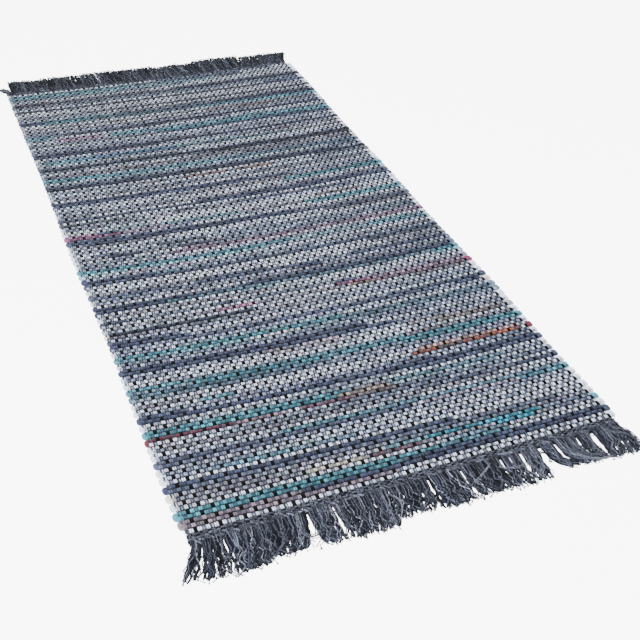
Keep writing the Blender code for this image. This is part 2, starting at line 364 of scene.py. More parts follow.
def points_at(*parts: np.ndarray | float) -> np.ndarray:
    """Join coordinates into points, each stretched to the shape of all of them."""
    return np.stack(np.broadcast_arrays(*parts), -1)


def cells(left: np.ndarray, right: np.ndarray, near: np.ndarray,
          far: np.ndarray) -> np.ndarray:
    """Join the sides of map cells into their four corners."""
    return np.stack([
        points_at(left, near), points_at(right, near),
        points_at(right, far), points_at(left, far),
    ], axis=-2)


class JoinedMesh:
    """One mesh joined from many small shapes that are held as arrays."""

    def __init__(self) -> None:
        """Start with no shapes."""
        self.points: list[np.ndarray] = []
        self.dyes: list[np.ndarray] = []
        self.rides: list[np.ndarray] = []
        self.faces: list[np.ndarray] = []
        self.maps: dict[str, list[np.ndarray]] = {}
        self.total = 0

    def add_points(self, points: np.ndarray, dyes: np.ndarray,
                   ride: np.ndarray | float = 0.0) -> np.ndarray:
        """Add points with their colours.

        Args:
            points: any shape that ends in 3.
            dyes: linear colours of the same shape, or one that stretches to it.
            ride: from 1 where a rag lies over the warp to 0 elsewhere, by point.

        Returns:
            The new points' numbers, in the shape of points without its last axis.
        """
        shape = points.shape[:-1]
        self.points.append(points.reshape(-1, 3))
        self.dyes.append(np.broadcast_to(dyes, points.shape).reshape(-1, 3))
        self.rides.append(np.broadcast_to(ride, shape).ravel())
        numbers = self.total + np.arange(int(np.prod(shape))).reshape(shape)
        self.total += numbers.size
        return numbers

    def add_faces(self, corners: np.ndarray, **maps: np.ndarray) -> None:
        """Add faces with the same number of corners.

        Args:
            corners: point numbers, a row for each face.
            maps: for each named map, its places, a pair for each corner.
        """
        self.faces.append(corners)
        for name, places in maps.items():
            self.maps.setdefault(name, []).append(places.reshape(-1, 2))

    def add_tubes(self, rings: np.ndarray, dyes: np.ndarray,
                  ride: np.ndarray | float = 0.0) -> tuple[np.ndarray, list]:
        """Add closed tubes.

        Args:
            rings: points by tube, station, side and axis, the sides turning right-handed
                about the way along the tube.
            dyes: linear colours that stretch to the same shape.
            ride: how high each point's rag rides, from 0 to 1.

        Returns:
            The wall's corner numbers by tube, station, side and corner, and the two caps.
        """
        numbers = self.add_points(rings, dyes, ride)
        turned = np.roll(numbers, -1, axis=2)
        walls = np.stack(
            [numbers[:, :-1], turned[:, :-1], turned[:, 1:], numbers[:, 1:]], axis=-1
        )
        return walls, [numbers[:, 0, ::-1], numbers[:, -1]]

    def add_closed_tubes(self, rings: np.ndarray, dyes: np.ndarray,
                         ride: np.ndarray | float = 0.0) -> None:
        """Add closed tubes with all their faces, given as for add_tubes."""
        walls, caps = self.add_tubes(rings, dyes, ride)
        for corners in (walls.reshape(-1, 4), *caps):
            self.add_faces(corners)

    def add_floats(self, tips: np.ndarray, middles: np.ndarray, half: np.ndarray,
                   rise: np.ndarray, dyes: np.ndarray) -> None:
        """Add slim three-sided lengths of yarn that end in points.

        Args:
            tips: the first and last point of each, by float, end and axis.
            middles: the centres of the two rings between them, in the same form.
            half: half the width of each float.
            rise: half the thickness of each float.
            dyes: a linear colour for each float.
        """
        reach = unit(level_side(middles[:, 1] - middles[:, 0])) * half[:, None]
        lift = UP * rise[:, None]
        ring = np.stack([lift, reach - lift, -reach - lift], axis=1)
        rings = middles[:, :, None] + ring[:, None]
        body = self.add_points(rings, dyes[:, None, None])
        # painted shade: the pointed ends are darkened
        ends = self.add_points(tips, FLOAT_END_SHADE * dyes[:, None])
        turned = np.roll(body, -1, axis=2)
        first = np.broadcast_to(ends[:, :1], body[:, 0].shape)
        last = np.broadcast_to(ends[:, 1:], body[:, 0].shape)
        self.add_faces(np.stack([first, turned[:, 0], body[:, 0]], -1).reshape(-1, 3))
        self.add_faces(
            np.stack([body[:, 0], turned[:, 0], turned[:, 1], body[:, 1]], -1).reshape(-1, 4)
        )
        self.add_faces(np.stack([body[:, 1], turned[:, 1], last], -1).reshape(-1, 3))

    def build(self, name: str, material: bpy.types.Material) -> bpy.types.Object:
        """Make the object, with its faces smooth.

        Args:
            name: the piece's name.
            material: its finish.

        Returns:
            The new object, at the origin.
        """
        mesh = bpy.data.meshes.new(name)
        points = np.concatenate(self.points)
        mesh.vertices.add(len(points))
        mesh.vertices.foreach_set("co", points.astype(np.float32).ravel())
        sizes = np.concatenate([np.full(len(f), f.shape[1]) for f in self.faces])
        corners = np.concatenate([f.ravel() for f in self.faces])
        mesh.loops.add(len(corners))
        mesh.loops.foreach_set("vertex_index", corners.astype(np.int32))
        mesh.polygons.add(len(sizes))
        starts = np.concatenate([[0], np.cumsum(sizes)[:-1]])
        mesh.polygons.foreach_set("loop_start", starts.astype(np.int32))
        mesh.polygons.foreach_set("use_smooth", np.ones(len(sizes), bool))
        for map_name, parts in self.maps.items():
            layer = mesh.uv_layers.new(name=map_name)
            layer.uv.foreach_set("vector", np.concatenate(parts).astype(np.float32).ravel())
        dyes = mesh.color_attributes.new(DYE_ATTRIBUTE, "FLOAT_COLOR", "POINT")
        colours = np.concatenate(self.dyes)
        colours = np.concatenate([colours, np.concatenate(self.rides)[:, None]], axis=1)
        dyes.data.foreach_set("color", colours.astype(np.float32).ravel())
        mesh.update(calc_edges=True)
        mesh.validate()
        mesh.materials.append(material)
        thing = bpy.data.objects.new(name, mesh)
        bpy.context.scene.collection.objects.link(thing)
        return thing

    def lay_flat_map(self) -> None:
        """Give every face its place from above: upper faces fill the map's larger part, and
        faces that look down its rest."""
        points = np.concatenate(self.points)
        low, high = points[:, :2].min(0), points[:, :2].max(0)
        share = (points[:, :2] - low) / (high - low)
        maps = []
        for corners in self.faces:
            spots = points[corners]
            turn = np.cross(spots[:, 1] - spots[:, 0], spots[:, 2] - spots[:, 0])
            under = turn[:, 2] < 0.0
            places = share[corners].copy()
            places[..., 1] = np.where(
                under[:, None], UNDER_START + UNDER_DEPTH * places[..., 1],
                UPPER_START + UPPER_DEPTH * places[..., 1],
            )
            maps.append(places.reshape(-1, 2))
        self.maps[BAKE_MAP] = maps


@dataclass(frozen=True)
class Draft:
    """The weaver's draft: where the rows, the warp groups and the edges of the cloth lie."""

    width: float = 0.700
    length: float = 1.450
    shift_x: float = 0.0070
    shift_y: float = -0.0009
    rows: int = 170
    hidden_start: float = 0.0025
    first_row: float = 0.0095
    loose_rows: int = 12
    loose_row: float = 0.008875
    sag: float = 0.0076
    tilt: float = 0.0112
    wander: float = 0.0012
    wander_turns: Pair = (1.3, 5.1)
    front_rise: float = 0.0100
    front_rise_power: float = 1.4
    front_rise_depth: float = 0.06
    sag_settles_at: float = 0.15
    wobble: float = 0.00030
    wobble_waves: tuple[Pair, ...] = ((4.7, 0.9), (11.3, 0.7), (23.9, 0.5))
    wobble_start: float = 2.399
    groups: int = 117
    group_pitch: float = 0.00602
    first_group: float = -0.0001
    black_offset: int = 2
    left_reach_front: float = 0.0095
    left_reach_back: float = 0.0040
    right_reach: float = 0.0135
    edge_wave: float = 0.0016
    left_wave: Pair = (2.3, 0.1)
    right_wave: Pair = (3.1, 0.4)
    front_pull_in: float = 0.0045
    front_pull_rows: int = 3

    def row_edges(self) -> np.ndarray:
        """Return the distance from the front end of every row's near edge and the last far edge."""
        loose = self.hidden_start + self.first_row + self.loose_row * np.arange(self.loose_rows + 1)
        tight = np.linspace(loose[-1], self.length, self.rows - self.loose_rows)
        return np.concatenate([[self.hidden_start], loose, tight[1:]])

    def across(self, place: np.ndarray) -> np.ndarray:
        """Turn distances from the field's left edge into world X."""
        return place - self.width / 2 + self.shift_x

    def line_y(self, distance: np.ndarray, place: np.ndarray) -> np.ndarray:
        """World Y of the weft line at a distance from the front and a distance across."""
        along = distance / self.length
        side = place / self.width
        settled = np.minimum(1.0, along / self.sag_settles_at)
        sag = -self.sag * 4.0 * side * (1.0 - side) * settled
        tilt = self.tilt * along * (side - 0.5)
        fade = np.maximum(0.0, 1.0 - along / self.front_rise_depth)
        rise = self.front_rise * np.maximum(0.0, side) ** self.front_rise_power * fade
        across, down = self.wander_turns
        turn = 2.0 * math.pi * (across * side + down * along)
        wander = self.wander * np.sin(turn) * np.sin(math.pi * along)
        return (along - 0.5) * self.length + self.shift_y + sag + tilt + rise + wander

    def edge_y(self, edge: np.ndarray, place: np.ndarray) -> np.ndarray:
        """World Y of a row's edge, with the small unevenness of hand-laid rags.

        Args:
            edge: the edges' numbers, from 0 at the front.
            place: distances across, of a shape that edge stretches to.

        Returns:
            World Y of each.
        """
        lines = self.line_y(self.row_edges()[edge], place)
        for turns, share in self.wobble_waves:
            start = self.wobble_start * edge * (1.0 + turns)
            lines = lines + self.wobble * share * np.sin(2.0 * math.pi * turns * place + start)
        return lines

    def group_place(self, group: np.ndarray) -> np.ndarray:
        """Distance across of the middle of a warp group."""
        return self.first_group + self.group_pitch * group

    def is_black(self, group: np.ndarray) -> np.ndarray:
        """Whether each warp group is the near-black third one."""
        return group % 3 == self.black_offset

    def edge_swing(self, along: np.ndarray, turns: float, start: float) -> np.ndarray:
        """How far the slow wave of a long edge takes it out."""
        return self.edge_wave * np.sin(2.0 * math.pi * (turns * along + start))

    def reaches(self, row: np.ndarray) -> tuple[np.ndarray, np.ndarray]:
        """How far the rag loops stand out of the field, left and right, at each row."""
        along = row / self.rows
        left = self.left_reach_front + (self.left_reach_back - self.left_reach_front) * along
        left = left + self.edge_swing(along, *self.left_wave)
        right = self.right_reach + self.edge_swing(along, *self.right_wave)
        pull = self.front_pull_in * (1.0 - smooth(row / self.front_pull_rows))
        return left - pull, right - pull


@dataclass
class RagChart:
    """The colour of the rag at any row and place."""

    draft: Draft
    seed: int = 11
    tones: tuple[Dye, ...] = (
        Dye.WHITE, Dye.WHITE, Dye.WHITE, Dye.LAVENDER, Dye.LAVENDER, Dye.PALE_GREY, Dye.GREIGE,
    )
    join_chance: float = 0.6
    join_places: Pair = (0.05, 0.65)
    brightness: Pair = (0.86, 1.02)
    back_darkening: float = 0.22

    def base(self, places: np.ndarray) -> np.ndarray:
        """Colours of the undyed rags, which change tone from row to row and at joins.

        Args:
            places: distances across, by row and station.

        Returns:
            Linear colours by row, station and channel.
        """
        rng = np.random.default_rng(self.seed)
        colours = np.zeros(places.shape + (3,))
        for row, line in enumerate(places):
            first, second = rng.integers(len(self.tones), size=2)
            join = rng.uniform(*self.join_places) if rng.random() < self.join_chance else 1.0
            pick = np.where(line < join, first, second)
            lights = np.stack([tone.light for tone in self.tones])
            far = smooth(2.0 * row / self.draft.rows - 1.0)
            bright = rng.uniform(*self.brightness)
            # undyed rags darker towards the back end
            colours[row] = lights[pick] * bright * (1.0 - self.back_darkening * far)
        return colours

    def colours(self, places: np.ndarray) -> tuple[np.ndarray, np.ndarray]:
        """Colours of all the rows.

        Args:
            places: distances across, by row and station.

        Returns:
            Linear colours by row, station and channel, and how far each is dyed, 0 to 1.
        """
        colours = self.base(places)
        dyed = np.zeros(places.shape)
        far = MILLIMETRES * self.draft.width
        for stripe in STRIPES:
            line = MILLIMETRES * places[stripe.row]
            inside = (line >= stripe.start) & (line < stripe.end)
            inside |= (stripe.start <= 0) & (line < 0.0)
            inside |= (stripe.end >= far) & (line >= far)
            spot = (stripe.row, inside)
            colours[spot] = blend(colours[spot], stripe.dye.light, stripe.strength)
            if stripe.dye is not Dye.WHITE:
                dyed[spot] = stripe.strength
        return colours, dyed


class Wire:
    """A shader socket that takes part in Python sums, each of which adds a Math node."""

    def __init__(self, graph: "Graph", socket: bpy.types.NodeSocket) -> None:
        """Wrap an output socket of a graph's node."""
        self.graph = graph
        self.socket = socket

    def math(self, operation: str, *values: "Wire | float") -> "Wire":
        """Add a Math node on this wire and other values, and return its result."""
        return self.graph.add("ShaderNodeMath", {"operation": operation},
                              dict(enumerate((self, *values))))

    def __add__(self, other: "Wire | float") -> "Wire":
        """Sum of two values."""
        return self.math("ADD", other)

    __radd__ = __add__

    def __mul__(self, other: "Wire | float") -> "Wire":
        """Product of two values."""
        return self.math("MULTIPLY", other)

    __rmul__ = __mul__

    def __sub__(self, other: "Wire | float") -> "Wire":
        """Difference of two values."""
        return self.math("SUBTRACT", other)

    def __rsub__(self, other: float) -> "Wire":
        """Difference of a number and this value."""
        return self * -1.0 + other

    def __truediv__(self, other: float) -> "Wire":
        """Quotient of two values."""
        return self.math("DIVIDE", other)


class Graph:
    """The nodes of one material, every one added by the same method."""

    def __init__(self, name: str) -> None:
        """Make an empty node material of that name."""
        self.material = bpy.data.materials.new(name)
        self.material.use_nodes = True
        self.nodes = self.material.node_tree.nodes
        self.links = self.material.node_tree.links
        self.nodes.clear()

    def add(self, kind: str, settings: dict | None = None, inputs: dict | None = None,
            out: int | str = 0) -> Wire:
        """Add a node.

        Args:
            kind: the node's type.
            settings: its properties, set before anything else.
            inputs: values or wires for its sockets, by name or number.
            out: the output to return.

        Returns:
            That output as a wire.
        """
        node = self.nodes.new(kind)
        for name, value in (settings or {}).items():
            setattr(node, name, value)
        for name, value in (inputs or {}).items():
            if isinstance(value, Wire):
                self.links.new(value.socket, node.inputs[name])
            else:
                node.inputs[name].default_value = value
        return Wire(self, node.outputs[out])

    def noise(self, vector: Wire, scale: float, detail: float = 2.0) -> Wire:
        """Add a noise texture and return its value."""
        return self.add("ShaderNodeTexNoise", None, {
            "Vector": vector, "Scale": scale, "Detail": detail, "Roughness": 0.6})

    def attribute(self, name: str, out: str = "Color") -> Wire:
        """Read a mesh attribute."""
        return self.add("ShaderNodeAttribute", {"attribute_name": name}, out=out)

    def object_place(self) -> Wire:
        """Return the Object coordinates."""
        return self.add("ShaderNodeTexCoord", out="Object")

    def axes(self, vector: Wire) -> tuple[Wire, Wire, Wire]:
        """Split a vector into its X, Y and Z."""
        first = self.add("ShaderNodeSeparateXYZ", None, {0: vector})
        outputs = first.socket.node.outputs
        return first, Wire(self, outputs[1]), Wire(self, outputs[2])

    def mix(self, share: Wire | float, first: Wire | tuple, second: Wire | tuple) -> Wire:
        """Mix two colours by a share."""
        return self.add("ShaderNodeMix", {"data_type": "RGBA"}, {0: share, 6: first, 7: second},
                        out=2)

    def shade(self, colour: Wire, brightness: Wire) -> Wire:
        """Scale a colour by a brightness."""
        return self.add("ShaderNodeVectorMath", {"operation": "SCALE"},
                        {0: colour, "Scale": brightness})

    def bump(self, height: Wire, distance: float, below: Wire | None = None) -> Wire:
        """Add a bump of that height in metres, over another if one is given."""
        inputs = {"Height": height, "Distance": distance, "Strength": 1.0}
        if below is not None:
            inputs["Normal"] = below
        return self.add("ShaderNodeBump", None, inputs, out="Normal")

    def finish(self, colour: Wire, normal: Wire, roughness: Wire | float,
               sheen: float) -> bpy.types.Material:
        """Close the graph with a soft cloth surface.

        Args:
            colour: the base colour.
            normal: the bumped normal.
            roughness: the roughness.
            sheen: the weight of the fibres' sheen.

        Returns:
            The finished material.
        """
        surface = self.add("ShaderNodeBsdfPrincipled", None, {
            "Base Color": colour, "Normal": normal, "Roughness": roughness,
            "Sheen Weight": sheen, "Sheen Roughness": 0.5, "Specular IOR Level": 0.08})
        self.add_output(surface)
        return self.material

    def add_output(self, surface: Wire) -> None:
        """Send a surface to the material's output."""
        node = self.nodes.new("ShaderNodeOutputMaterial")
        self.links.new(surface.socket, node.inputs["Surface"])


@dataclass(frozen=True)
class RagFinish:
    """Soft cotton rag: folds a few millimetres apart, darker in their hollows as painted shade, a
    fine knit, and the thin dark warp end that divides each of its humps, darker also as painted
    shade of its groove."""

    name: str = "rag_cotton"
    fold_scale: float = 330.0
    knit_scale: float = 1500.0
    end_pitch: float = Draft.group_pitch
    first_end: float = -0.3431
    end_sway: float = 0.9
    end_sharpness: float = 5.0
    end_shade: float = 0.66
    least_shade: float = 0.62
    fold_shade: float = 0.42
    knit_shade: float = 0.31
    fold_height: float = 0.0005
    knit_height: float = 0.00016
    roughness: float = 0.86
    sheen: float = 0.15

    def make(self) -> bpy.types.Material:
        """Build the material."""
        graph = Graph(self.name)
        place = graph.object_place()
        folds = graph.noise(place, self.fold_scale, 3.0)
        knit = graph.noise(place, self.knit_scale)
        x = graph.axes(place)[0] - self.first_end
        turn = x * (2.0 * math.pi / self.end_pitch) + (folds - 0.5) * self.end_sway
        # a thin dark warp end down each hump, darker still as painted shade of its groove
        ends = (turn.math("COSINE") * 0.5 + 0.5).math("POWER", self.end_sharpness)
        ends = ends * graph.attribute(DYE_ATTRIBUTE, "Alpha")
        # painted shade: darker where the fold noise, which also raises the bumps, runs low, over the
        # rag's own uneven tone
        brightness = self.least_shade + folds * self.fold_shade + knit * self.knit_shade
        brightness = brightness * (1.0 - ends * self.end_shade)
        colour = graph.shade(graph.attribute(DYE_ATTRIBUTE), brightness)
        normal = graph.bump(folds - ends * 0.5, self.fold_height)
        normal = graph.bump(knit, self.knit_height, normal)
        return graph.finish(colour, normal, self.roughness + knit * 0.1, self.sheen)


@dataclass(frozen=True)
class WarpFinish:
    """Plied warp yarn, its plies running slantwise across each float."""

    name: str = "warp_yarn"
    ply_pitch: float = 0.0016
    ply_slant: float = 0.9
    ply_height: float = 0.00018
    ply_part: float = 0.7
    fibre_part: float = 0.3
    fibre_scale: float = 2200.0
    least_shade: float = 0.60
    ply_shade: float = 0.21
    fibre_shade: float = 0.28
    roughness: float = 0.9
    sheen: float = 0.03

    def make(self) -> bpy.types.Material:
        """Build the material."""
        graph = Graph(self.name)
        place = graph.object_place()
        x, y, _ = graph.axes(place)
        turn = 2.0 * math.pi / self.ply_pitch
        plies = ((x * self.ply_slant + y) * turn).math("SINE") * 0.5 + 0.5
        fibres = graph.noise(place, self.fibre_scale)
        brightness = self.least_shade + plies * self.ply_shade + fibres * self.fibre_shade
        colour = graph.shade(graph.attribute(DYE_ATTRIBUTE), brightness)
        normal = graph.bump(plies * self.ply_part + fibres * self.fibre_part, self.ply_height)
        return graph.finish(colour, normal, self.roughness, self.sheen)


@dataclass(frozen=True)
class FringeFinish:
    """Soft plied yarn of the fringe, its plies wound round each strand."""

    name: str = "fringe_yarn"
    ply_pitch: float = 0.0034
    ply_height: float = 0.00030
    ply_part: float = 0.7
    fibre_part: float = 0.3
    fibre_scale: float = 1700.0
    least_shade: float = 0.30
    ply_shade: float = 0.62
    fibre_shade: float = 0.76
    clot_scale: float = 240.0
    clot_contrast: float = 2.6
    clot_darkest: float = 0.3
    roughness: float = 0.92
    sheen: float = 0.03

    def make(self) -> bpy.types.Material:
        """Build the material."""
        graph = Graph(self.name)
        place = graph.object_place()
        twist = graph.add("ShaderNodeUVMap", {"uv_map": TWIST_MAP})
        around, along, _ = graph.axes(twist)
        turn = 2.0 * math.pi
        plies = ((around * 2.0 + along / self.ply_pitch) * turn).math("SINE") * 0.5 + 0.5
        fibres = graph.noise(place, self.fibre_scale)
        clots = (graph.noise(place, self.clot_scale, 3.0) - 0.5) * self.clot_contrast + 1.0
        brightness = self.least_shade + plies * self.ply_shade + fibres * self.fibre_shade
        brightness = brightness * clots.math("MAXIMUM", self.clot_darkest)
        colour = graph.shade(graph.attribute(DYE_ATTRIBUTE), brightness)
        normal = graph.bump(plies * self.ply_part + fibres * self.fibre_part, self.ply_height)
        return graph.finish(colour, normal, self.roughness, self.sheen)


@dataclass(frozen=True)
class GroundFinish:
    """The cloth behind the rows, which shows the reverse of the weave on its underside; its upper
    face and the lines between rows are darkened as painted shade.
    """

    name: str = "cloth_ground"
    black_offset: int = Draft.black_offset
    gap_share: float = 0.07
    # Painted shade: light left in the lines between rows, the rest inside them, and the share left
    # on the upper face
    gap_light: float = 0.30
    row_light: float = 0.70
    depth_shade: float = 0.12
    fibre_scale: float = 1300.0
    fibre_height: float = 0.0003
    least_shade: float = 0.75
    fibre_shade: float = 0.5
    roughness: float = 0.92
    sheen: float = 0.1

    def make(self) -> bpy.types.Material:
        """Build the material."""
        graph = Graph(self.name)
        place = graph.object_place()
        draft = graph.add("ShaderNodeUVMap", {"uv_map": DRAFT_MAP})
        group, row, _ = graph.axes(draft)
        warp = (group + 0.5).math("FLOOR")
        weft = row.math("FLOOR")
        over = ((warp + weft) / 2.0).math("FRACT") * 2.0
        third = ((warp - float(self.black_offset)) / 3.0 + 0.01).math("FRACT")
        black = third.math("LESS_THAN", 0.1)
        grey = tuple(Dye.WARP_GREY.light) + (1.0,)
        dark = tuple(Dye.WARP_BLACK.light) + (1.0,)
        yarn = graph.mix(black, grey, dark)
        weave = graph.mix(over, graph.attribute(DYE_ATTRIBUTE), yarn)
        # Painted shade: darker in the lines between rows, and darker still on the upper face
        inside = (row.math("FRACT") - 0.5).math("ABSOLUTE").math("LESS_THAN", 0.5 - self.gap_share)
        normal_z = graph.axes(graph.add("ShaderNodeNewGeometry", out="Normal"))[2]
        depth = 1.0 - normal_z.math("GREATER_THAN", 0.0) * (1.0 - self.depth_shade)
        fibres = graph.noise(place, self.fibre_scale, 3.0)
        brightness = (self.gap_light + inside * self.row_light) * depth
        brightness = brightness * (self.least_shade + fibres * self.fibre_shade)
        colour = graph.shade(weave, brightness)
        normal = graph.bump(fibres, self.fibre_height)
        return graph.finish(colour, normal, self.roughness, self.sheen)


@dataclass
class Cloth:
    """The woven field: a thin ground, the rag rows, the warp floats and the edge loops."""

    draft: Draft
    chart: RagChart
    ground_columns: int = 12
    ground_top: float = 0.0026
    ground_gap: float = 0.0020
    ground_under: float = 0.0006
    rag_low: float = 0.0018
    rag_under: float = 0.0045
    rag_over: float = 0.0052
    blob_top: float = 0.0023
    blob_foot: float = 0.0030
    blob_shift: float = 0.0003
    blob_stretch: Pair = (0.72, 1.06)
    blob_lift: float = 0.00014
    blob_lean: float = 0.00025
    blob_plump: float = 0.05
    foot_shoulder: float = 0.25
    row_gap: float = 0.00060
    row_shoulder: float = 0.00120
    # Painted shade: the share of colour left at a row's feet, where rows meet, and where the rag
    # runs under the warp
    foot_shade: float = 0.05
    under_shade: float = 0.47
    bands: int = 4
    float_gap_z: float = 0.0022
    float_top: float = 0.0059
    float_overrun: float = 0.0006
    float_shoulder: float = 0.0013
    black_overrun: float = 0.0032
    black_shoulder: float = 0.0001
    four_half: float = 0.00060
    three_half: float = 0.00078
    black_half: float = 0.00165
    yarn_rise: float = 0.00060
    shades: tuple[Dye, ...] = (Dye.WARP_GREY, Dye.WARP_PALE, Dye.WARP_GREY, Dye.WARP_SLATE)
    four_places: tuple[float, ...] = (-0.00276, -0.00116, 0.00110, 0.00272)
    three_places: tuple[float, ...] = (-0.00256, -0.00090, 0.00226)
    black_places: Pair = (-0.00125, 0.00125)
    yarn_shift: float = 0.00014
    yarn_bright: Pair = (0.82, 1.2)
    black_bright: Pair = (0.7, 1.4)
    float_shift: float = 0.00010
    float_lift: float = 0.00012
    float_width: Pair = (0.92, 1.08)
    float_bright: float = 0.22
    float_limits: Pair = (0.5, 1.7)
    four_share: float = 0.5
    tint: float = 0.18
    bright_middle: float = -0.04
    bright_spread: float = 0.30
    bright_limits: Pair = (0.45, 1.80)
    streak_blobs: int = 6
    streak_spread: float = 0.15
    streak_limits: Pair = (0.6, 1.3)
    tint_spread: float = 0.025
    faded_blobs: float = 0.16
    fade_range: Pair = (0.3, 0.7)
    fade_strength: float = 0.8
    brightest: float = 1.00
    loop_half: float = 0.0045
    loop_rise: float = 0.0023
    loop_inset: float = 0.0030
    loop_square: float = 0.22
    loop_close: float = 0.0002
    loop_stations: int = 11
    loop_sides: int = 6
    loop_floor: float = 0.0002
    loop_shift: float = 0.0009
    loop_plump: Pair = (0.92, 1.06)
    loop_painted_light: Pair = (1.1, 1.5)
    loop_bright: float = 0.07
    plain_below: float = 0.2
    seed: int = 5

    def build_ground(self, material: bpy.types.Material) -> bpy.types.Object:
        """Build the thin closed sheet under the rows, ribbed on both faces.

        Args:
            material: its finish.

        Returns:
            The sheet.
        """
        draft = self.draft
        lines = 2 * draft.rows + 1
        edges = draft.row_edges()
        middles = (edges[1:] + edges[:-1]) / 2
        distances = np.empty(lines)
        distances[0::2] = edges
        distances[1::2] = middles
        rows = np.arange(lines) / 2.0
        places = np.linspace(0.0, draft.width, self.ground_columns + 1)
        places = np.broadcast_to(places, (lines, len(places)))
        y = draft.line_y(distances[:, None], places)
        rib = (np.arange(lines) % 2 == 1)[:, None]
        tops = np.where(rib, self.ground_top, self.ground_gap)
        under = np.where(rib, 0.0, self.ground_under)
        x = draft.across(places)
        row_of = np.minimum(np.arange(lines) // 2, draft.rows - 1)
        dyes = self.chart.colours(places[:draft.rows])[0][row_of]
        mesh = JoinedMesh()
        upper = mesh.add_points(points_at(x, y, tops), dyes)
        lower = mesh.add_points(points_at(x, y, under), dyes)
        group = (places - draft.first_group) / draft.group_pitch
        spots = points_at(group, rows[:, None])

        def corners(grid: np.ndarray) -> np.ndarray:
            """Four corners of every cell of a grid, turning upwards."""
            return np.stack([grid[:-1, :-1], grid[:-1, 1:], grid[1:, 1:], grid[1:, :-1]], -1)

        cells = corners(np.arange(spots.shape[0] * spots.shape[1]).reshape(spots.shape[:2]))
        flat = spots.reshape(-1, 2)[cells.reshape(-1, 4)]
        mesh.add_faces(corners(upper).reshape(-1, 4), **{DRAFT_MAP: flat})
        mesh.add_faces(corners(lower).reshape(-1, 4)[:, ::-1], **{DRAFT_MAP: flat[:, ::-1]})
        for top, low, spot in (
            (upper[0], lower[0], spots[0]),
            (upper[::-1, 0], lower[::-1, 0], spots[::-1, 0]),
            (upper[-1, ::-1], lower[-1, ::-1], spots[-1, ::-1]),
            (upper[:, -1], lower[:, -1], spots[:, -1]),
        ):
            wall = np.stack([low[:-1], low[1:], top[1:], top[:-1]], -1)
            place = np.stack([spot[:-1], spot[1:], spot[1:], spot[:-1]], 1)
            mesh.add_faces(wall, **{DRAFT_MAP: place})
        return mesh.build("cloth_ground", material)

    def blob_stations(self) -> tuple[np.ndarray, np.ndarray, np.ndarray]:
        """Lay out the stations along every rag row.

        Returns:
            Distances across by row and station, how high the rag rides there from 0 under
            the warp to 1 over it, and each station's blob number.
        """
        draft = self.draft
        rng = np.random.default_rng(self.seed)
        blobs = draft.groups // 2 + 1
        row = np.arange(draft.rows)[:, None]
        group = 2 * np.arange(blobs)[None] + (row + 1) % 2
        shift = rng.uniform(-self.blob_shift, self.blob_shift, group.shape)
        middle = draft.group_place(group) + shift
        spread = rng.uniform(*self.blob_stretch, group.shape)
        offsets = np.array([-self.blob_foot, -self.blob_top, self.blob_top, self.blob_foot])
        places = middle[..., None] + spread[..., None] * offsets
        ride = np.broadcast_to([0.0, 1.0, 1.0, 0.0], places.shape)
        number = np.broadcast_to(np.arange(blobs)[None, :, None], places.shape)
        flat = (draft.rows, -1)
        return places.reshape(flat), ride.reshape(flat), number.reshape(flat)

    def build_rags(self, material: bpy.types.Material) -> list[bpy.types.Object]:
        """Build the rag rows, in bands along the rug.

        Args:
            material: their finish.

        Returns:
            One object for each band.
        """
        draft = self.draft
        rng = np.random.default_rng(self.seed + 1)
        places, ride, number = self.blob_stations()
        row = np.arange(draft.rows)[:, None] + np.zeros(places.shape, int)
        near = draft.edge_y(row, places) + self.row_gap
        far = draft.edge_y(row + 1, places) - self.row_gap
        blobs = number.max() + 1
        lift = rng.normal(0.0, self.blob_lift, (draft.rows, blobs))
        lean = rng.normal(0.0, self.blob_lean, (draft.rows, blobs))
        plump = rng.normal(1.0, self.blob_plump, (draft.rows, blobs))
        take = (row, number)
        top = self.rag_under + (self.rag_over - self.rag_under) * ride * plump[take] + lift[take]
        shoulder = self.row_shoulder * (1.0 + self.foot_shoulder * (1.0 - ride)) * plump[take]
        x = draft.across(places)
        rings = np.stack([
            points_at(x, far, self.rag_low),
            points_at(x, far - shoulder + lean[take], top),
            points_at(x, near + shoulder + lean[take], top),
            points_at(x, near, self.rag_low),
        ], axis=2)
        colours = self.vary(places, number, rng)
        # Painted shade: darker at each row's feet between the rows, and where the rag runs under the
        # warp
        depth = np.array([self.foot_shade, 1.0, 1.0, self.foot_shade])
        depth = depth * (self.under_shade + (1.0 - self.under_shade) * ride)[..., None]
        colours = colours[:, :, None] * depth[..., None]
        things = []
        for band, rows in enumerate(np.array_split(np.arange(draft.rows), self.bands), 1):
            mesh = JoinedMesh()
            mesh.add_closed_tubes(rings[rows], colours[rows], ride[rows][..., None])
            mesh.lay_flat_map()
            things.append(mesh.build(f"rag_rows_{band}", material))
        return things

    def vary(self, places: np.ndarray, number: np.ndarray, rng: np.random.Generator) -> np.ndarray:
        """Colour the rag stations from the chart, uneven from blob to blob.

        Args:
            places: distances across, by row and station.
            number: each station's blob number.
            rng: the random draws.

        Returns:
            Linear colours by row, station and channel.
        """
        colours, dyed = self.chart.colours(places)
        blobs = number.max() + 1
        row = np.arange(len(places))[:, None] + np.zeros(places.shape, int)
        shape = (len(places), blobs)
        bright = rng.lognormal(self.bright_middle, self.bright_spread, shape)
        streak = rng.normal(1.0, self.streak_spread, (len(places), blobs // self.streak_blobs + 1))
        streak = np.repeat(streak, self.streak_blobs, axis=1)[:, :blobs]
        bright = bright.clip(*self.bright_limits) * streak.clip(*self.streak_limits)
        tint = rng.normal(1.0, self.tint_spread, (*shape, 3))
        fade = np.where(rng.random(shape) < self.faded_blobs, rng.uniform(*self.fade_range), 0.0)
        faded = (fade[row, number] * dyed * self.fade_strength)[..., None]
        colours = colours + (Dye.WARP_GREY.light - colours) * faded
        colours = colours * bright[row, number][..., None] * tint[row, number]
        return colours * np.minimum(1.0, self.brightest / colours.max(-1, keepdims=True))

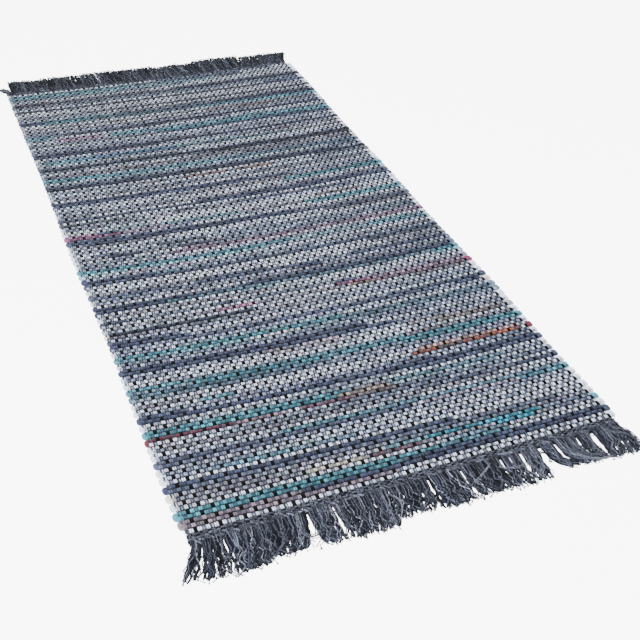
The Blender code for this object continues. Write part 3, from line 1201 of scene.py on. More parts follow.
    def yarns(self, rng: np.random.Generator) -> list[tuple[float, float, np.ndarray, int]]:
        """Lay out the warp.

        Args:
            rng: the random draws.

        Returns:
            For each yarn its distance across, half its width, its colour and its group.
        """
        draft = self.draft
        result = []
        for group in range(draft.groups):
            middle = float(draft.group_place(group))
            if draft.is_black(group):
                for offset in self.black_places:
                    light = Dye.WARP_BLACK.light * rng.uniform(*self.black_bright)
                    result.append((middle + offset, self.black_half, light, group))
                continue
            many = rng.random() < self.four_share
            offsets = np.array(self.four_places if many else self.three_places)
            half = self.four_half if many else self.three_half
            for offset in offsets + rng.normal(0.0, self.yarn_shift, len(offsets)):
                shade = self.shades[rng.integers(len(self.shades))]
                light = shade.light * rng.uniform(*self.yarn_bright)
                result.append((middle + offset, half, light, group))
        return result

    def build_warp(self, material: bpy.types.Material) -> list[bpy.types.Object]:
        """Build the floats of the warp over the rows, in bands along the rug.

        Args:
            material: their finish.

        Returns:
            One object for each band.
        """
        draft = self.draft
        rng = np.random.default_rng(self.seed + 2)
        yarns = self.yarns(rng)
        spots = draft.group_place(np.arange(draft.groups))
        rags, dyed = self.chart.colours(np.broadcast_to(spots, (draft.rows, len(spots))))
        things = []
        for band, rows in enumerate(np.array_split(np.arange(draft.rows), self.bands), 1):
            mesh = JoinedMesh()
            for place, half, light, group in yarns:
                over = rows[rows % 2 == group % 2]
                spot = place + rng.normal(0.0, self.float_shift, len(over))
                near = draft.edge_y(over, spot)
                far = draft.edge_y(over + 1, spot)
                black = draft.is_black(group)
                overrun = self.black_overrun if black else self.float_overrun
                shoulder = self.black_shoulder if black else self.float_shoulder
                x = draft.across(spot)
                lift = rng.normal(0.0, self.float_lift, len(over))
                top = self.float_top + lift - self.yarn_rise
                tips = np.stack([
                    points_at(x, near - overrun, self.float_gap_z),
                    points_at(x, far + overrun, self.float_gap_z),
                ], axis=1)
                middles = np.stack([
                    points_at(x, near + shoulder, top), points_at(x, far - shoulder, top),
                ], axis=1)
                widths = half * rng.uniform(*self.float_width, len(over))
                bright = rng.normal(1.0, self.float_bright, (len(over), 1))
                lights = light * bright.clip(*self.float_limits)
                if not black:
                    share = self.tint * dyed[over, group][:, None]
                    lights = lights + (rags[over, group] - lights) * share
                mesh.add_floats(tips, middles, widths, np.full(len(over), self.yarn_rise), lights)
            mesh.lay_flat_map()
            things.append(mesh.build(f"warp_floats_{band}", material))
        return things

    def build_loops(self, side: str, material: bpy.types.Material) -> bpy.types.Object:
        """Build the rag loops of one long edge, each joining two rows.

        Args:
            side: left or right.
            material: their finish.

        Returns:
            The row of loops.
        """
        draft = self.draft
        rng = np.random.default_rng(self.seed + (3 if side == "left" else 4))
        out = -1.0 if side == "left" else 1.0
        first = np.arange(1 if side == "left" else 0, draft.rows - 1, 2)
        reach = draft.reaches(first + 1)[0 if side == "left" else 1]
        reach = reach + rng.uniform(-self.loop_shift, self.loop_shift, len(first))
        edge = 0.0 if side == "left" else draft.width
        start = np.full(len(first), edge)
        near = (draft.edge_y(first, start) + draft.edge_y(first + 1, start)) / 2
        far = (draft.edge_y(first + 1, start) + draft.edge_y(first + 2, start)) / 2
        angle = np.linspace(-math.pi / 2, math.pi / 2, self.loop_stations)
        depth = reach - self.loop_half + self.loop_inset
        square = np.abs(np.cos(angle)) ** self.loop_square
        outward = -self.loop_inset + depth[:, None] * square
        x = draft.across(edge + out * outward)
        bend = np.sign(np.sin(angle)) * np.abs(np.sin(angle)) ** self.loop_square
        half_gap = (far - near)[:, None] / 2 - self.loop_close
        y = (near + far)[:, None] / 2 + half_gap * bend
        normal = level_side(unit(np.stack([np.gradient(x, axis=1), np.gradient(y, axis=1)], -1)))
        plump = rng.uniform(*self.loop_plump, (len(first), 1, 1, 1))
        turn = (np.arange(self.loop_sides) + 0.5) * 2.0 * math.pi / self.loop_sides
        ring = (UP * np.cos(turn)[:, None])[None, None] * self.loop_rise
        ring = ring + normal[:, :, None] * np.sin(turn)[:, None] * self.loop_half
        centre = points_at(x, y, self.loop_rise + self.loop_floor)
        rings = centre[:, :, None] + ring * plump
        rings[..., 2] = np.maximum(rings[..., 2], self.loop_floor)
        colours, dyed = self.chart.colours(np.full((draft.rows, 1), edge))
        colours, dyed = colours[:, 0], dyed[:, 0]
        one, two = colours[first], colours[first + 1]
        stronger = (dyed[first] >= dyed[first + 1])[:, None]
        plain = (np.maximum(dyed[first], dyed[first + 1]) < self.plain_below)[:, None]
        # Painted light: plain loops are undyed rag, lifted above the field's white
        pale = Dye.WHITE.light * rng.uniform(*self.loop_painted_light, (len(first), 1))
        main = np.where(plain, pale, np.where(stronger, one, two))
        for number, row in enumerate(first):
            if (side, row) in LOOP_DYES:
                main[number] = LOOP_DYES[side, row].light
        light = main * rng.normal(1.0, self.loop_bright, (len(first), 1))
        light = light * np.minimum(1.0, self.brightest / light.max(-1, keepdims=True))
        mesh = JoinedMesh()
        mesh.add_closed_tubes(rings, light[:, None, None])
        return mesh.build(f"selvedge_{side}", material)


@dataclass
class YarnLay:
    """Yarns that are laid out but not yet made: their centre lines, widths and colours."""

    centres: list[np.ndarray] = field(default_factory=list)
    halves: list[np.ndarray] = field(default_factory=list)
    lights: list[np.ndarray] = field(default_factory=list)

    def add(self, centres: np.ndarray, half: np.ndarray | float, lights: np.ndarray) -> None:
        """Add one yarn: its centres by station, and its width and colour by station or one."""
        self.centres.append(centres)
        self.halves.append(np.broadcast_to(half, centres.shape[:-1]))
        self.lights.append(np.broadcast_to(lights, centres.shape))


@dataclass
class FringeEnd:
    """The header and the fringe at one end of the rug."""

    draft: Draft
    name: str
    facing: int
    clumps: tuple[Clump, ...]
    strays: tuple[Stray, ...]
    seed: int
    header_depth: float = 0.0160
    header_rows: int = 3
    header_pitch: float = 0.0033
    header_lap: float = 0.0024
    header_high: float = 0.0046
    header_low: float = 0.0032
    header_foot: float = 0.0012
    header_floor: float = 0.0028
    header_floor_edge: float = 0.0016
    header_columns: int = 60
    header_shift: float = 0.0006
    header_blob: tuple[float, ...] = (-0.0033, -0.0018, 0.0018, 0.0033)
    header_gap: float = 0.0002
    header_shoulder: float = 0.0006
    header_wave: float = 0.00035
    header_turns: float = 9.0
    header_waver: float = 0.00012
    header_lift: float = 0.00018
    header_bright: float = 0.32
    header_twist: Pair = (30.0, 0.1)
    lap_places: tuple[float, ...] = (-0.0021, 0.0, 0.0021)
    lap_shift: float = 0.0003
    lap_shade: float = 0.9
    lap_low: float = 0.0026
    lap_high: float = 0.0046
    lap_overrun: float = 0.0004
    lap_shoulder: float = 0.0009
    lap_half: float = 0.0009
    lap_rise: float = 0.0005
    seam_shade: float = 0.1
    left_swell: float = 0.12
    right_shrink: float = 0.24
    overhang: float = 0.0030
    knot_pitch: float = 0.0072
    knot_length: float = 0.0150
    knot_reach: float = 0.0108
    knot_half: float = 0.00125
    knot_stations: int = 7
    knot_slant: Pair = (0.0024, 0.0018)
    knot_shift: float = 0.0007
    knot_bright: Pair = (0.75, 1.3)
    knot_gap: float = 0.0013
    knot_curve: float = 0.0006
    knot_low: float = 0.0014
    knot_arch: float = 0.0032
    knot_drop: float = 0.0004
    mat_pitch: float = 0.0019
    mat_half: float = 0.00240
    strand_pitch: float = 0.0020
    strand_half: float = 0.00112
    flatness: float = 0.85
    mat_flatness: float = 0.4
    flat_from: float = 1.1
    yarn_floor: float = 0.0001
    shelves: int = 6
    cell_start: Pair = (0.06, 0.03)
    cell_size: Pair = (0.88, 0.94)
    stations: int = 14
    turn_step: float = 1.2
    lean_power: float = 1.25
    tuck: float = 0.0070
    clump_spread: float = 0.0016
    wave_wide: float = 0.0022
    wave_fine: float = 0.0030
    drift: float = 0.0040
    curl: float = 0.0045
    wide_turn: float = 7.0
    fine_turn: float = 17.0
    curl_turn: float = 12.0
    reach_wave: float = 0.0005
    swing_from: float = 0.45
    swing_over: float = 0.7
    swing_pull: float = 0.35
    mat_waver: float = 0.45
    tip_mix: float = 0.20
    mat_tip_mix: float = 0.03
    root_shift: float = 0.0008
    mat_root_shift: float = 0.0003
    mat_shortest: float = 0.92
    strand_lengths: Pair = (0.84, 1.08)
    mat_height: float = 0.0010
    strand_heights: Pair = (0.0024, 0.0036)
    mat_lift: float = 0.0020
    root_height: float = 0.0040
    tip_fall: float = 0.55
    ripple: float = 0.0003
    tip_taper: float = 0.3
    yarn_widths: Pair = (0.85, 1.12)
    mat_mix: float = 0.35
    yarn_dyes: tuple[tuple[float, Dye], ...] = (
        (0.55, Dye.FRINGE), (0.72, Dye.FRINGE_DARK), (0.84, Dye.FRINGE_BLUE),
        (1.0, Dye.FRINGE_PALE),
    )
    yarn_bright: Pair = (0.1, 0.45)
    root_painted_shade: float = 0.6
    body_gain: float = 0.4
    tip_gain: float = 0.3
    longest: float = 0.0800
    curl_count: int = 30
    curl_margin: float = 0.010
    curl_wide: Pair = (0.004, 0.011)
    curl_deep: Pair = (0.007, 0.019)
    curl_lean: float = 0.004
    curl_start: Pair = (0.009, 0.013)
    curl_high: float = 0.0046
    curl_fall: float = 0.0010
    curl_bright: float = 0.3
    curl_width: Pair = (0.8, 1.0)
    stray_shift: float = 0.0014
    stray_drift: float = 0.0012
    stray_low: float = 0.0012
    stray_arch: float = 0.0032
    stray_bright: Pair = (0.1, 0.2)
    stray_width: Pair = (0.75, 0.95)
    fray_count: int = 2
    fray_long: Pair = (0.0016, 0.0034)
    fray_swerve: float = 0.30
    fray_heights: Pair = (0.0008, 0.0016)
    fray_root: float = 0.0022
    fray_half: Pair = (0.00065, 0.00105)
    fray_flatness: float = 0.6
    fray_bright: Pair = (0.8, 1.3)
    fray_columns: int = 300
    strand_part: float = 0.92
    tone: float = 1.0

    @property
    def seam(self) -> float:
        """Distance along the rug of the line where the cloth meets the header."""
        return 0.0 if self.facing < 0 else self.draft.length

    def world(self, place: np.ndarray, reach: np.ndarray) -> tuple[np.ndarray, np.ndarray]:
        """World X and Y of spots beyond the seam.

        Args:
            place: distances across.
            reach: distances outwards from the seam.

        Returns:
            X and Y.
        """
        inside = np.clip(place, -self.overhang, self.draft.width + self.overhang)
        y = self.draft.line_y(np.full(np.shape(place), self.seam), inside)
        return self.draft.across(place), y + self.facing * reach

    def woven_reach(self, place: np.ndarray, reach: np.ndarray) -> np.ndarray:
        """Widen the header's weave towards the left and narrow it towards the right."""
        scale = 1.0 + self.left_swell - self.right_shrink * place / self.draft.width
        return np.where(reach > 0.0, reach * scale, reach)

    def build_header(self, material: bpy.types.Material) -> bpy.types.Object:
        """Build the header: a floor strip, near-black as painted shade, close rows of dark yarn, and
        the warp over them.

        Args:
            material: its finish.

        Returns:
            The header.
        """
        draft = self.draft
        rng = np.random.default_rng(self.seed)
        mesh = JoinedMesh()
        self.add_header_floor(mesh)
        count = draft.groups // 2 + 1
        row = np.arange(self.header_rows)[:, None]
        group = 2 * np.arange(count)[None] + row % 2
        shift = rng.uniform(-self.header_shift, self.header_shift, group.shape)
        middle = draft.group_place(group) + shift
        places = (middle[..., None] + self.header_blob).reshape(self.header_rows, -1)
        places = places.clip(-self.overhang, draft.width + self.overhang)
        places += np.linspace(0.0, 1e-5, places.shape[1])
        ride = np.tile([0.0, 1.0, 1.0, 0.0], count)[None] * np.ones(places.shape)
        near = -self.header_lap + self.header_pitch * row + self.header_gap
        far = near + self.header_pitch - 2.0 * self.header_gap
        wave = self.header_wave * np.sin(2 * math.pi * self.header_turns * places + row * 1.7)
        wave += rng.normal(0.0, self.header_waver, places.shape)
        top = self.header_low + (self.header_high - self.header_low) * ride
        top = top + rng.normal(0.0, self.header_lift, places.shape)
        low = self.header_foot
        shoulder = self.header_shoulder
        order = [(near, low), (near + shoulder, top), (far - shoulder, top), (far, low)]
        if self.facing > 0:
            order.reverse()
        rings = []
        for reach, height in order:
            x, y = self.world(places, self.woven_reach(places, reach + wave))
            rings.append(points_at(x, y, height))
        bright = rng.lognormal(0.0, self.header_bright, (self.header_rows, count, 1))
        lights = Dye.FRINGE.light * bright
        # Painted shade: each header row's low corners, where the rows meet, darkened to seam_shade
        seam = np.array([self.seam_shade, 1.0, 1.0, self.seam_shade])[:, None]
        lights = np.repeat(lights, 4, axis=1)[:, :, None] * seam
        mesh.add_closed_tubes(np.stack(rings, axis=2), lights)
        self.add_header_warp(mesh, rng)
        mesh.lay_flat_map()
        mesh.maps[TWIST_MAP] = [spots * self.header_twist for spots in mesh.maps[BAKE_MAP]]
        return mesh.build(f"header_{self.name}", material)

    def add_header_floor(self, mesh: JoinedMesh) -> None:
        """Add the closed strip under the header's rows, near-black as painted shade where it shows
        between them.
        """
        places = np.linspace(-self.overhang, self.draft.width + self.overhang,
                             self.header_columns)
        deep = self.header_depth
        spots = [(0.0, 0.0), (0.0, self.header_floor), (deep, self.header_floor_edge), (deep, 0.0)]
        if self.facing > 0:
            spots.reverse()
        rings = []
        for reach, height in spots:
            rings.append(points_at(*self.world(places, reach), height))
        # painted shade: the strip is coloured near-black
        mesh.add_closed_tubes(np.stack(rings, axis=1)[None], Dye.FRINGE_DARK.light)

    def add_header_warp(self, mesh: JoinedMesh, rng: np.random.Generator) -> None:
        """Add the warp where it passes over the header's rows."""
        groups = np.arange(self.draft.groups)
        shades = np.stack([Dye.FRINGE.light, Dye.FRINGE_PALE.light, Dye.FRINGE_DARK.light])
        for row in range(self.header_rows):
            near = -self.header_lap + self.header_pitch * row
            far = near + self.header_pitch
            over = groups[groups % 2 == (row + 1) % 2]
            black = self.draft.is_black(over)[:, None]
            for offset in self.lap_places:
                shift = rng.normal(0.0, self.lap_shift, len(over))
                place = self.draft.group_place(over) + offset + shift
                lights = shades[rng.integers(3, size=len(over))] * self.lap_shade
                lights = np.where(black, Dye.WARP_BLACK.light, lights)
                ends, middles = [], []
                for reach, height, target in (
                    (near - self.lap_overrun, self.lap_low, ends),
                    (near + self.lap_shoulder, self.lap_high, middles),
                    (far - self.lap_shoulder, self.lap_high, middles),
                    (far + self.lap_overrun, self.lap_low, ends),
                ):
                    x, y = self.world(place, self.woven_reach(place, reach))
                    target.append(points_at(x, y, height))
                mesh.add_floats(
                    np.stack(ends, 1), np.stack(middles, 1), np.full(len(place), self.lap_half),
                    np.full(len(place), self.lap_rise), lights,
                )

    def add_strands(self, mesh: JoinedMesh, lay: YarnLay, rng: np.random.Generator) -> None:
        """Add plied strands as slightly flat tubes that turn as they run.

        Args:
            mesh: where they go.
            lay: the strands, which all have the same number of stations.
            rng: the random draws.
        """
        centres = np.stack(lay.centres)
        half = np.stack(lay.halves)
        lights = np.stack(lay.lights)
        way = unit(np.gradient(centres, axis=1))
        side = unit(level_side(way))
        up = np.cross(side, way)
        count, stations = half.shape
        roll = rng.uniform(0.0, math.pi, count)[:, None] + self.turn_step * np.arange(stations)
        flat = half.max(axis=1, keepdims=True) > self.flat_from * self.strand_half
        roll = np.where(flat, math.pi / 2, roll)
        rings = []
        for corner in range(4):
            wide = half * math.cos(corner * math.pi / 2)
            thin = half * math.sin(corner * math.pi / 2) * np.where(
                flat, self.mat_flatness, self.flatness
            )
            over = (wide * np.cos(roll) - thin * np.sin(roll))[..., None]
            across = (wide * np.sin(roll) + thin * np.cos(roll))[..., None]
            rings.append(centres + up * over + side * across)
        rings = np.stack(rings, axis=2)
        rings[..., 2] = np.maximum(rings[..., 2], self.yarn_floor)
        walls, caps = mesh.add_tubes(rings, lights[:, :, None])
        steps = np.linalg.norm(np.diff(centres, axis=1), axis=-1)
        along = np.concatenate([np.zeros((count, 1)), np.cumsum(steps, axis=1)], axis=1)
        twist, atlas = self.strand_maps(count, stations, along)
        mesh.add_faces(walls.reshape(-1, 4), **{TWIST_MAP: twist, BAKE_MAP: atlas})
        for cap, station in zip(caps, (0, -1)):
            spot = atlas.reshape(count, stations - 1, 4, 4, 2)[:, station, :, 0]
            mesh.add_faces(cap, **{TWIST_MAP: np.zeros((count, 4, 2)), BAKE_MAP: spot})

    def strand_maps(self, count: int, stations: int,
                    along: np.ndarray) -> tuple[np.ndarray, np.ndarray]:
        """Lay out the strands' two maps.

        Args:
            count: how many strands.
            stations: how many stations each has.
            along: the distance along each strand at each station.

        Returns:
            The map for the plies, and the map that gives each strand a strip of its own.
        """
        left = np.broadcast_to(np.arange(4) / 4.0, (count, stations - 1, 4))
        right = left + 0.25
        twist = cells(left, right, along[:, :-1, None], along[:, 1:, None])
        columns = math.ceil(count / self.shelves)
        strand = np.arange(count)[:, None, None]
        step = np.arange(stations)[None, :, None] / (stations - 1)
        (u_start, v_start), (u_size, v_size) = self.cell_start, self.cell_size
        u0, u1 = ((strand % columns) / columns + (u_start + u_size * side) / columns
                  for side in (left, right))
        v = (strand // columns) / self.shelves + (v_start + v_size * step) / self.shelves
        v = self.strand_part * v
        atlas = cells(u0, u1, v[:, :-1], v[:, 1:])
        return twist.reshape(-1, 4, 2), atlas.reshape(-1, 4, 2)

    def build_knots(self, material: bpy.types.Material) -> bpy.types.Object:
        """Build the knotted cord along the header's outer edge, from short slanting yarns.

        Args:
            material: its finish.

        Returns:
            The cord.
        """
        rng = np.random.default_rng(self.seed + 1)
        count = int((self.draft.width + 2 * self.overhang) / self.knot_pitch)
        middles = -self.overhang + self.knot_pitch * (np.arange(count) + 0.5)
        share = np.linspace(-0.5, 0.5, self.knot_stations)
        lay = YarnLay()
        for middle in middles:
            slant = rng.normal(*self.knot_slant)
            reach = self.woven_reach(middle, self.knot_reach) + rng.normal(0.0, self.knot_shift)
            light = Dye.FRINGE.light * rng.lognormal(-0.1, 0.50)
            for yarn in (-1.0, 0.0, 1.0):
                place = middle + share * self.knot_length * rng.uniform(0.8, 1.1)
                place = place.clip(-self.overhang - 0.001, self.draft.width + self.overhang + 0.001)
                place = place + np.linspace(0.0, 1e-4, len(share))
                out = reach + slant * 2.0 * share + yarn * self.knot_gap
                out = out + self.knot_curve * np.sin(6.0 * share)
                x, y = self.world(place, out)
                arch = 1.0 - (2.0 * share) ** 2
                z = self.knot_low + self.knot_arch * arch - self.knot_drop * abs(yarn)
                z = z + rng.normal(0.0, 0.0003)
                lights = light * rng.uniform(*self.knot_bright)
                lay.add(points_at(x, y, z), self.knot_half * (0.5 + 0.5 * arch), lights)
        mesh = JoinedMesh()
        self.add_strands(mesh, lay, rng)
        return mesh.build(f"knots_{self.name}", material)

    def run_yarn(self, clump: Clump, root: float, tip: float, length: float,
                 waver: float, rng: np.random.Generator) -> tuple[np.ndarray, ...]:
        """Lay one yarn of a clump.

        Args:
            clump: the clump.
            root: where it leaves the header, as a distance across.
            tip: where it would end at the clump's full length.
            length: how far it reaches beyond the header.
            waver: how much it wavers, about 1.
            rng: the random draws.

        Returns:
            Distances across and outwards, and the share of the clump's length, by station.
        """
        step = np.linspace(0.0, 1.0, self.stations)
        reach = -self.tuck + (length + self.tuck) * step
        part = np.clip(reach / clump.length, 0.0, None)
        share = (root - clump.root_from) / (clump.root_to - clump.root_from)
        bend = clump.bow * (0.3 + 0.7 * share) * np.sin(math.pi * np.minimum(1.0, part))
        own = rng.uniform(0.0, 2.0 * math.pi, 3)
        wave = self.wave_wide * np.sin(self.wide_turn * part + own[0])
        wave += self.wave_fine * np.sin(self.fine_turn * part + own[1])
        wave += self.curl * np.sin(self.curl_turn * part + own[2]) * part ** 3
        place = root + (tip - root) * part ** self.lean_power + bend
        drift = rng.normal(0.0, self.drift) * part ** 2
        place = place + waver * (wave * smooth(1.6 * part) + drift)
        turned = smooth((part - self.swing_from) / self.swing_over)
        place = place + clump.swing * turned
        reach = reach - abs(clump.swing) * self.swing_pull * turned
        reach = reach + waver * self.reach_wave * np.sin(self.fine_turn * part + own[2])
        return place, self.header_depth + reach, part

    def lay_clump(self, clump: Clump, lay: YarnLay, rng: np.random.Generator) -> None:
        """Lay out the yarns of one clump: a mat below, darker as painted shade, and lighter yarns
        over it.

        Args:
            clump: the clump.
            lay: where they go.
            rng: the random draws.
        """
        spread = self.clump_spread
        root_from, root_to = clump.root_from - spread, clump.root_to + spread
        tip_from, tip_to = clump.tip_from - spread, clump.tip_to + spread
        span = root_to - root_from
        for layer, pitch in enumerate((self.mat_pitch, self.strand_pitch)):
            count = max(3, round(span / pitch))
            for number in range(count):
                share = (number + 0.5) / count
                mat = layer == 0
                shift = rng.normal(0.0, self.mat_root_shift if mat else self.root_shift)
                mix = rng.normal(0.0, self.mat_tip_mix if mat else self.tip_mix)
                root = root_from + span * share + shift
                mixed = float(np.clip(share + mix, 0.0, 1.0))
                tip = tip_from + (tip_to - tip_from) * mixed
                lengths = (self.mat_shortest, 1.0) if mat else self.strand_lengths
                length = min(clump.length * rng.uniform(*lengths), self.longest)
                place, reach, part = self.run_yarn(clump, root, tip, length,
                                                   self.mat_waver if mat else 1.0, rng)
                x, y = self.world(place, reach)
                high = self.mat_height if mat else rng.uniform(*self.strand_heights)
                lift = self.mat_lift if mat else self.root_height - high
                fall = 1.0 - self.tip_fall * smooth((part - 0.5) / 0.5)
                rise = lift * (1.0 - smooth(part * 2.6))
                z = high * fall + rise + self.ripple * np.sin(11.0 * part + 40.0 * share)
                fade = 1.0 - self.tip_taper * np.linspace(0.0, 1.0, self.stations) ** 6
                width = self.mat_half if mat else self.strand_half
                half = width * rng.uniform(*self.yarn_widths) * fade
                lay.add(points_at(x, y, z), half, self.yarn_lights(mat, rng))

    def yarn_lights(self, mat: bool, rng: np.random.Generator) -> np.ndarray:
        """Colour one fringe yarn by station: darker in the mat and at its root as painted shade,
        paler at its tip.
        """
        if mat:
            # painted shade: the mat's real yarns are mixed towards near-black
            light = blend(Dye.FRINGE_DARK.light, Dye.FRINGE.light, rng.uniform(0.0, self.mat_mix))
        else:
            pick = rng.random()
            dye = next(dye for limit, dye in self.yarn_dyes if pick < limit)
            light = dye.light * rng.lognormal(*self.yarn_bright)
        step = np.linspace(0.0, 1.0, self.stations)
        # painted shade: darker towards the root
        tone = self.root_painted_shade + self.body_gain * smooth(3.5 * step)
        tone = tone + self.tip_gain * smooth((step - 0.8) / 0.2)
        return light[None] * tone[:, None] * self.tone

    def lay_curls(self, lay: YarnLay, rng: np.random.Generator) -> None:
        """Lay short arcs of yarn over the roots of the fringe.

        Args:
            lay: where they go.
            rng: the random draws.
        """
        turn = np.linspace(0.15, math.pi - 0.15, self.stations)
        margin = self.curl_margin
        for middle in rng.uniform(margin, self.draft.width - margin, self.curl_count):
            wide = rng.uniform(*self.curl_wide)
            deep = rng.uniform(*self.curl_deep)
            lean = rng.normal(0.0, self.curl_lean)
            start = rng.uniform(*self.curl_start)
            place = middle - wide * np.cos(turn) + lean * np.sin(turn)
            x, y = self.world(place, start + deep * np.sin(turn))
            z = self.curl_high - self.curl_fall * np.sin(turn) + rng.normal(0.0, 0.0003)
            light = Dye.FRINGE.light * rng.lognormal(0.0, self.curl_bright)
            half = self.strand_half * rng.uniform(*self.curl_width)
            lay.add(points_at(x, y, z), half, light)

    def lay_strays(self, lay: YarnLay, rng: np.random.Generator) -> None:
        """Lay the yarns that lie astray.

        Args:
            lay: where they go.
            rng: the random draws.
        """
        step = np.linspace(0.0, 1.0, self.stations)
        for stray in self.strays:
            start, bend, end = (np.array(spot) / MILLIMETRES
                                for spot in (stray.start, stray.bend, stray.end))
            for _ in range(stray.count):
                shift = rng.normal(0.0, self.stray_shift, 2)
                weight = step[:, None]
                path = start * (1 - weight) ** 2 + end * weight ** 2
                path = path + (2.0 * bend - 0.5 * (start + end)) * 2 * weight * (1 - weight)
                path = path + shift + rng.normal(0.0, self.stray_drift, 2) * weight
                x, y = self.world(path[:, 0], path[:, 1])
                z = self.stray_low + self.stray_arch * np.sin(math.pi * (0.18 + 0.72 * step))
                light = stray.dye.light * rng.lognormal(*self.stray_bright)
                half = self.strand_half * rng.uniform(*self.stray_width)
                lay.add(points_at(x, y, z), half, light)

    def add_frays(self, mesh: JoinedMesh, lay: YarnLay, rng: np.random.Generator) -> None:
        """Add the loose fibres at the tips of the strands.

        Args:
            mesh: where they go.
            lay: the strands.
            rng: the random draws.
        """
        centres = np.stack(lay.centres)
        lights = np.stack(lay.lights)
        tip = centres[:, -1]
        way = unit(tip - centres[:, -3])
        side = -level_side(way)
        for _ in range(self.fray_count):
            long = rng.uniform(*self.fray_long, (len(tip), 1))
            swerve = rng.normal(0.0, self.fray_swerve, (len(tip), 1))
            end = tip + (way + side * swerve) * long
            end[:, 2] = rng.uniform(*self.fray_heights, len(tip))
            start = tip - way * self.fray_root
            start[:, 2] = np.maximum(start[:, 2], self.fray_heights[0])
            one = start + (end - start) * 0.35
            two = start + (end - start) * 0.75 + side * swerve * long * 0.10
            half = rng.uniform(*self.fray_half, len(tip))
            dyes = lights[:, -1] * rng.uniform(*self.fray_bright, (len(tip), 1))
            mesh.add_floats(np.stack([start, end], 1), np.stack([one, two], 1), half,
                            half * self.fray_flatness, dyes)

    def build_yarns(self, material: bpy.types.Material) -> bpy.types.Object:
        """Build the fringe's yarns with their frayed tips.

        Args:
            material: their finish.

        Returns:
            The fringe.
        """
        rng = np.random.default_rng(self.seed + 2)
        lay = YarnLay()
        for clump in self.clumps:
            self.lay_clump(clump, lay, rng)
        self.lay_curls(lay, rng)
        self.lay_strays(lay, rng)
        mesh = JoinedMesh()
        self.add_strands(mesh, lay, rng)
        log.info("%s fringe: %d yarns", self.name, len(lay.centres))
        frays = JoinedMesh()
        self.add_frays(frays, lay, rng)
        self.join_frays(mesh, frays)
        return mesh.build(f"fringe_yarns_{self.name}", material)

    def join_frays(self, mesh: JoinedMesh, frays: JoinedMesh) -> None:
        """Move the frays into the fringe's mesh, each with a small cell above the strands' part
        of the baking map."""
        square = np.array([(0.2, 0.2), (0.8, 0.2), (0.8, 0.8), (0.2, 0.8)])
        start = mesh.total
        mesh.points += frays.points
        mesh.dyes += frays.dyes
        mesh.rides += frays.rides
        mesh.total += frays.total
        every = sum(len(corners) for corners in frays.faces) // 9
        size = np.array([1.0 / self.fray_columns,
                         (1.0 - self.strand_part) / math.ceil(every / self.fray_columns)])
        for part, corners in enumerate(frays.faces):
            number = (part // 3) * (len(corners) // 3) + np.arange(len(corners)) // 3
            cell = np.stack([number % self.fray_columns, number // self.fray_columns], -1)
            spots = (cell[:, None] + square[:corners.shape[1]]) * size + (0.0, self.strand_part)
            mesh.add_faces(corners + start, **{TWIST_MAP: spots * 0.01, BAKE_MAP: spots})


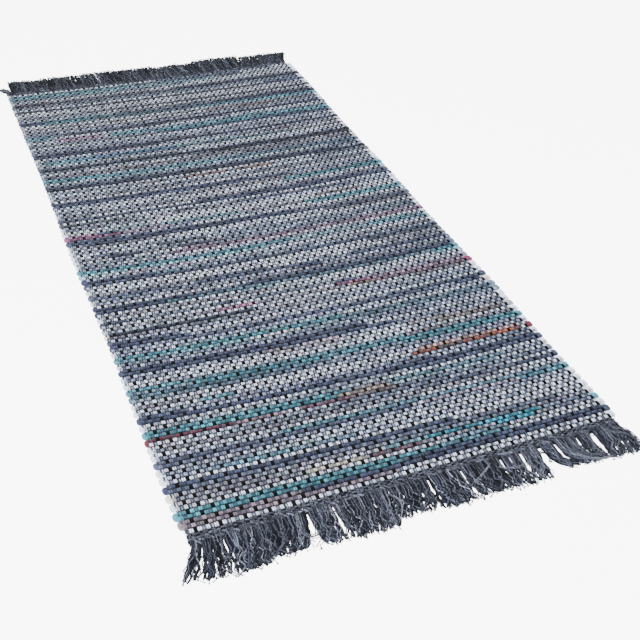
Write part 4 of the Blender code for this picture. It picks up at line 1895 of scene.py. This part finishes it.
@dataclass(frozen=True)
class Studio:
    """The pale floor, the soft light and the camera."""

    camera_place: Triple = (-0.6077, -1.6740, 1.1008)
    camera_turn: Triple = (53.448, -3.118, -22.528)
    lens: float = 59.46
    sensor: float = 36.0
    floor_size: float = 30.0
    floor_shade: float = 0.90
    floor_glow: float = 6.0
    sky: float = 1.12
    key_power: float = 358.0
    key_size: float = 3.2
    key_place: Triple = (-1.4, -1.6, 3.2)

    def build(self) -> None:
        """Add all of it to the scene."""
        self.build_floor()
        self.build_light()
        self.build_camera()

    def build_floor(self) -> None:
        """Add a plain pale floor at Z = 0, which glows a little but lights nothing."""
        bpy.ops.object.select_all(action="DESELECT")
        bpy.ops.mesh.primitive_plane_add(size=self.floor_size)
        floor = bpy.context.active_object
        floor.name = "studio_floor"
        graph = Graph("pale_floor")
        surface = graph.add("ShaderNodeBsdfPrincipled", None, {
            "Base Color": (self.floor_shade,) * 3 + (1.0,), "Roughness": 0.9,
            "Specular IOR Level": 0.1, "Emission Color": (1.0, 1.0, 1.0, 1.0),
            "Emission Strength": self.floor_glow})
        graph.add_output(surface)
        floor.data.materials.append(graph.material)
        floor.visible_diffuse = False

    def build_light(self) -> None:
        """Add an even white surround and one large soft lamp."""
        world = bpy.data.worlds.new("studio_surround")
        world.use_nodes = True
        background = world.node_tree.nodes["Background"]
        background.inputs["Color"].default_value = (1.0, 1.0, 1.0, 1.0)
        background.inputs["Strength"].default_value = self.sky
        bpy.context.scene.world = world
        lamp = bpy.data.lights.new("key_lamp", "AREA")
        lamp.energy = self.key_power
        lamp.size = self.key_size
        thing = bpy.data.objects.new("key_lamp", lamp)
        thing.location = self.key_place
        thing.rotation_euler = (-Vector(self.key_place)).to_track_quat("-Z", "Y").to_euler()
        bpy.context.scene.collection.objects.link(thing)

    def build_camera(self) -> None:
        """Add the camera at the picture's viewing angle."""
        data = bpy.data.cameras.new("picture_camera")
        data.lens = self.lens
        data.sensor_width = self.sensor
        data.clip_end = 100.0
        camera = bpy.data.objects.new("picture_camera", data)
        camera.location = self.camera_place
        camera.rotation_euler = Euler([math.radians(turn) for turn in self.camera_turn], "XYZ")
        bpy.context.scene.collection.objects.link(camera)
        bpy.context.scene.camera = camera


def place(thing: bpy.types.Object, slot: str) -> bpy.types.Object:
    """Let a piece ride on the rug's body and report it."""
    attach(thing, BODY)
    sides = [len(face.vertices) for face in thing.data.polygons]
    log.info("%s: %d triangles", thing.name, sum(sides) - 2 * len(sides))
    return thing


def main() -> None:
    """Weave the rug and light it."""
    Studio().build()
    draft = Draft()
    cloth = Cloth(draft, RagChart(draft))
    rag = RagFinish().make()
    warp = WarpFinish().make()
    yarn = FringeFinish().make()
    ground = place(cloth.build_ground(GroundFinish().make()), CLOTH_SLOT)
    pieces = [place(band, CLOTH_SLOT) for band in cloth.build_rags(rag)]
    pieces += [place(band, CLOTH_SLOT) for band in cloth.build_warp(warp)]
    pieces += [place(cloth.build_loops(side, rag), CLOTH_SLOT) for side in ("left", "right")]
    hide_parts("woven_cloth")
    ends = (
        FringeEnd(draft, "front", -1, FRONT_CLUMPS, FRONT_STRAYS, 21),
        FringeEnd(draft, "back", 1, BACK_CLUMPS, BACK_STRAYS, 31,
                  clump_spread=0.0042, mat_shortest=0.93, mat_waver=0.2, tone=0.68),
    )
    for end in ends:
        header = place(end.build_header(yarn), YARN_SLOT)
        knots = place(end.build_knots(yarn), YARN_SLOT)
        yarns = place(end.build_yarns(yarn), YARN_SLOT)
        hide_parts(f"fringe_{end.name}")
        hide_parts(f"fringe_{end.name}")
        pieces += [header, knots, yarns]
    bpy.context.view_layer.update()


if __name__ == "__main__":
    logging.basicConfig(level=logging.INFO)
    main()
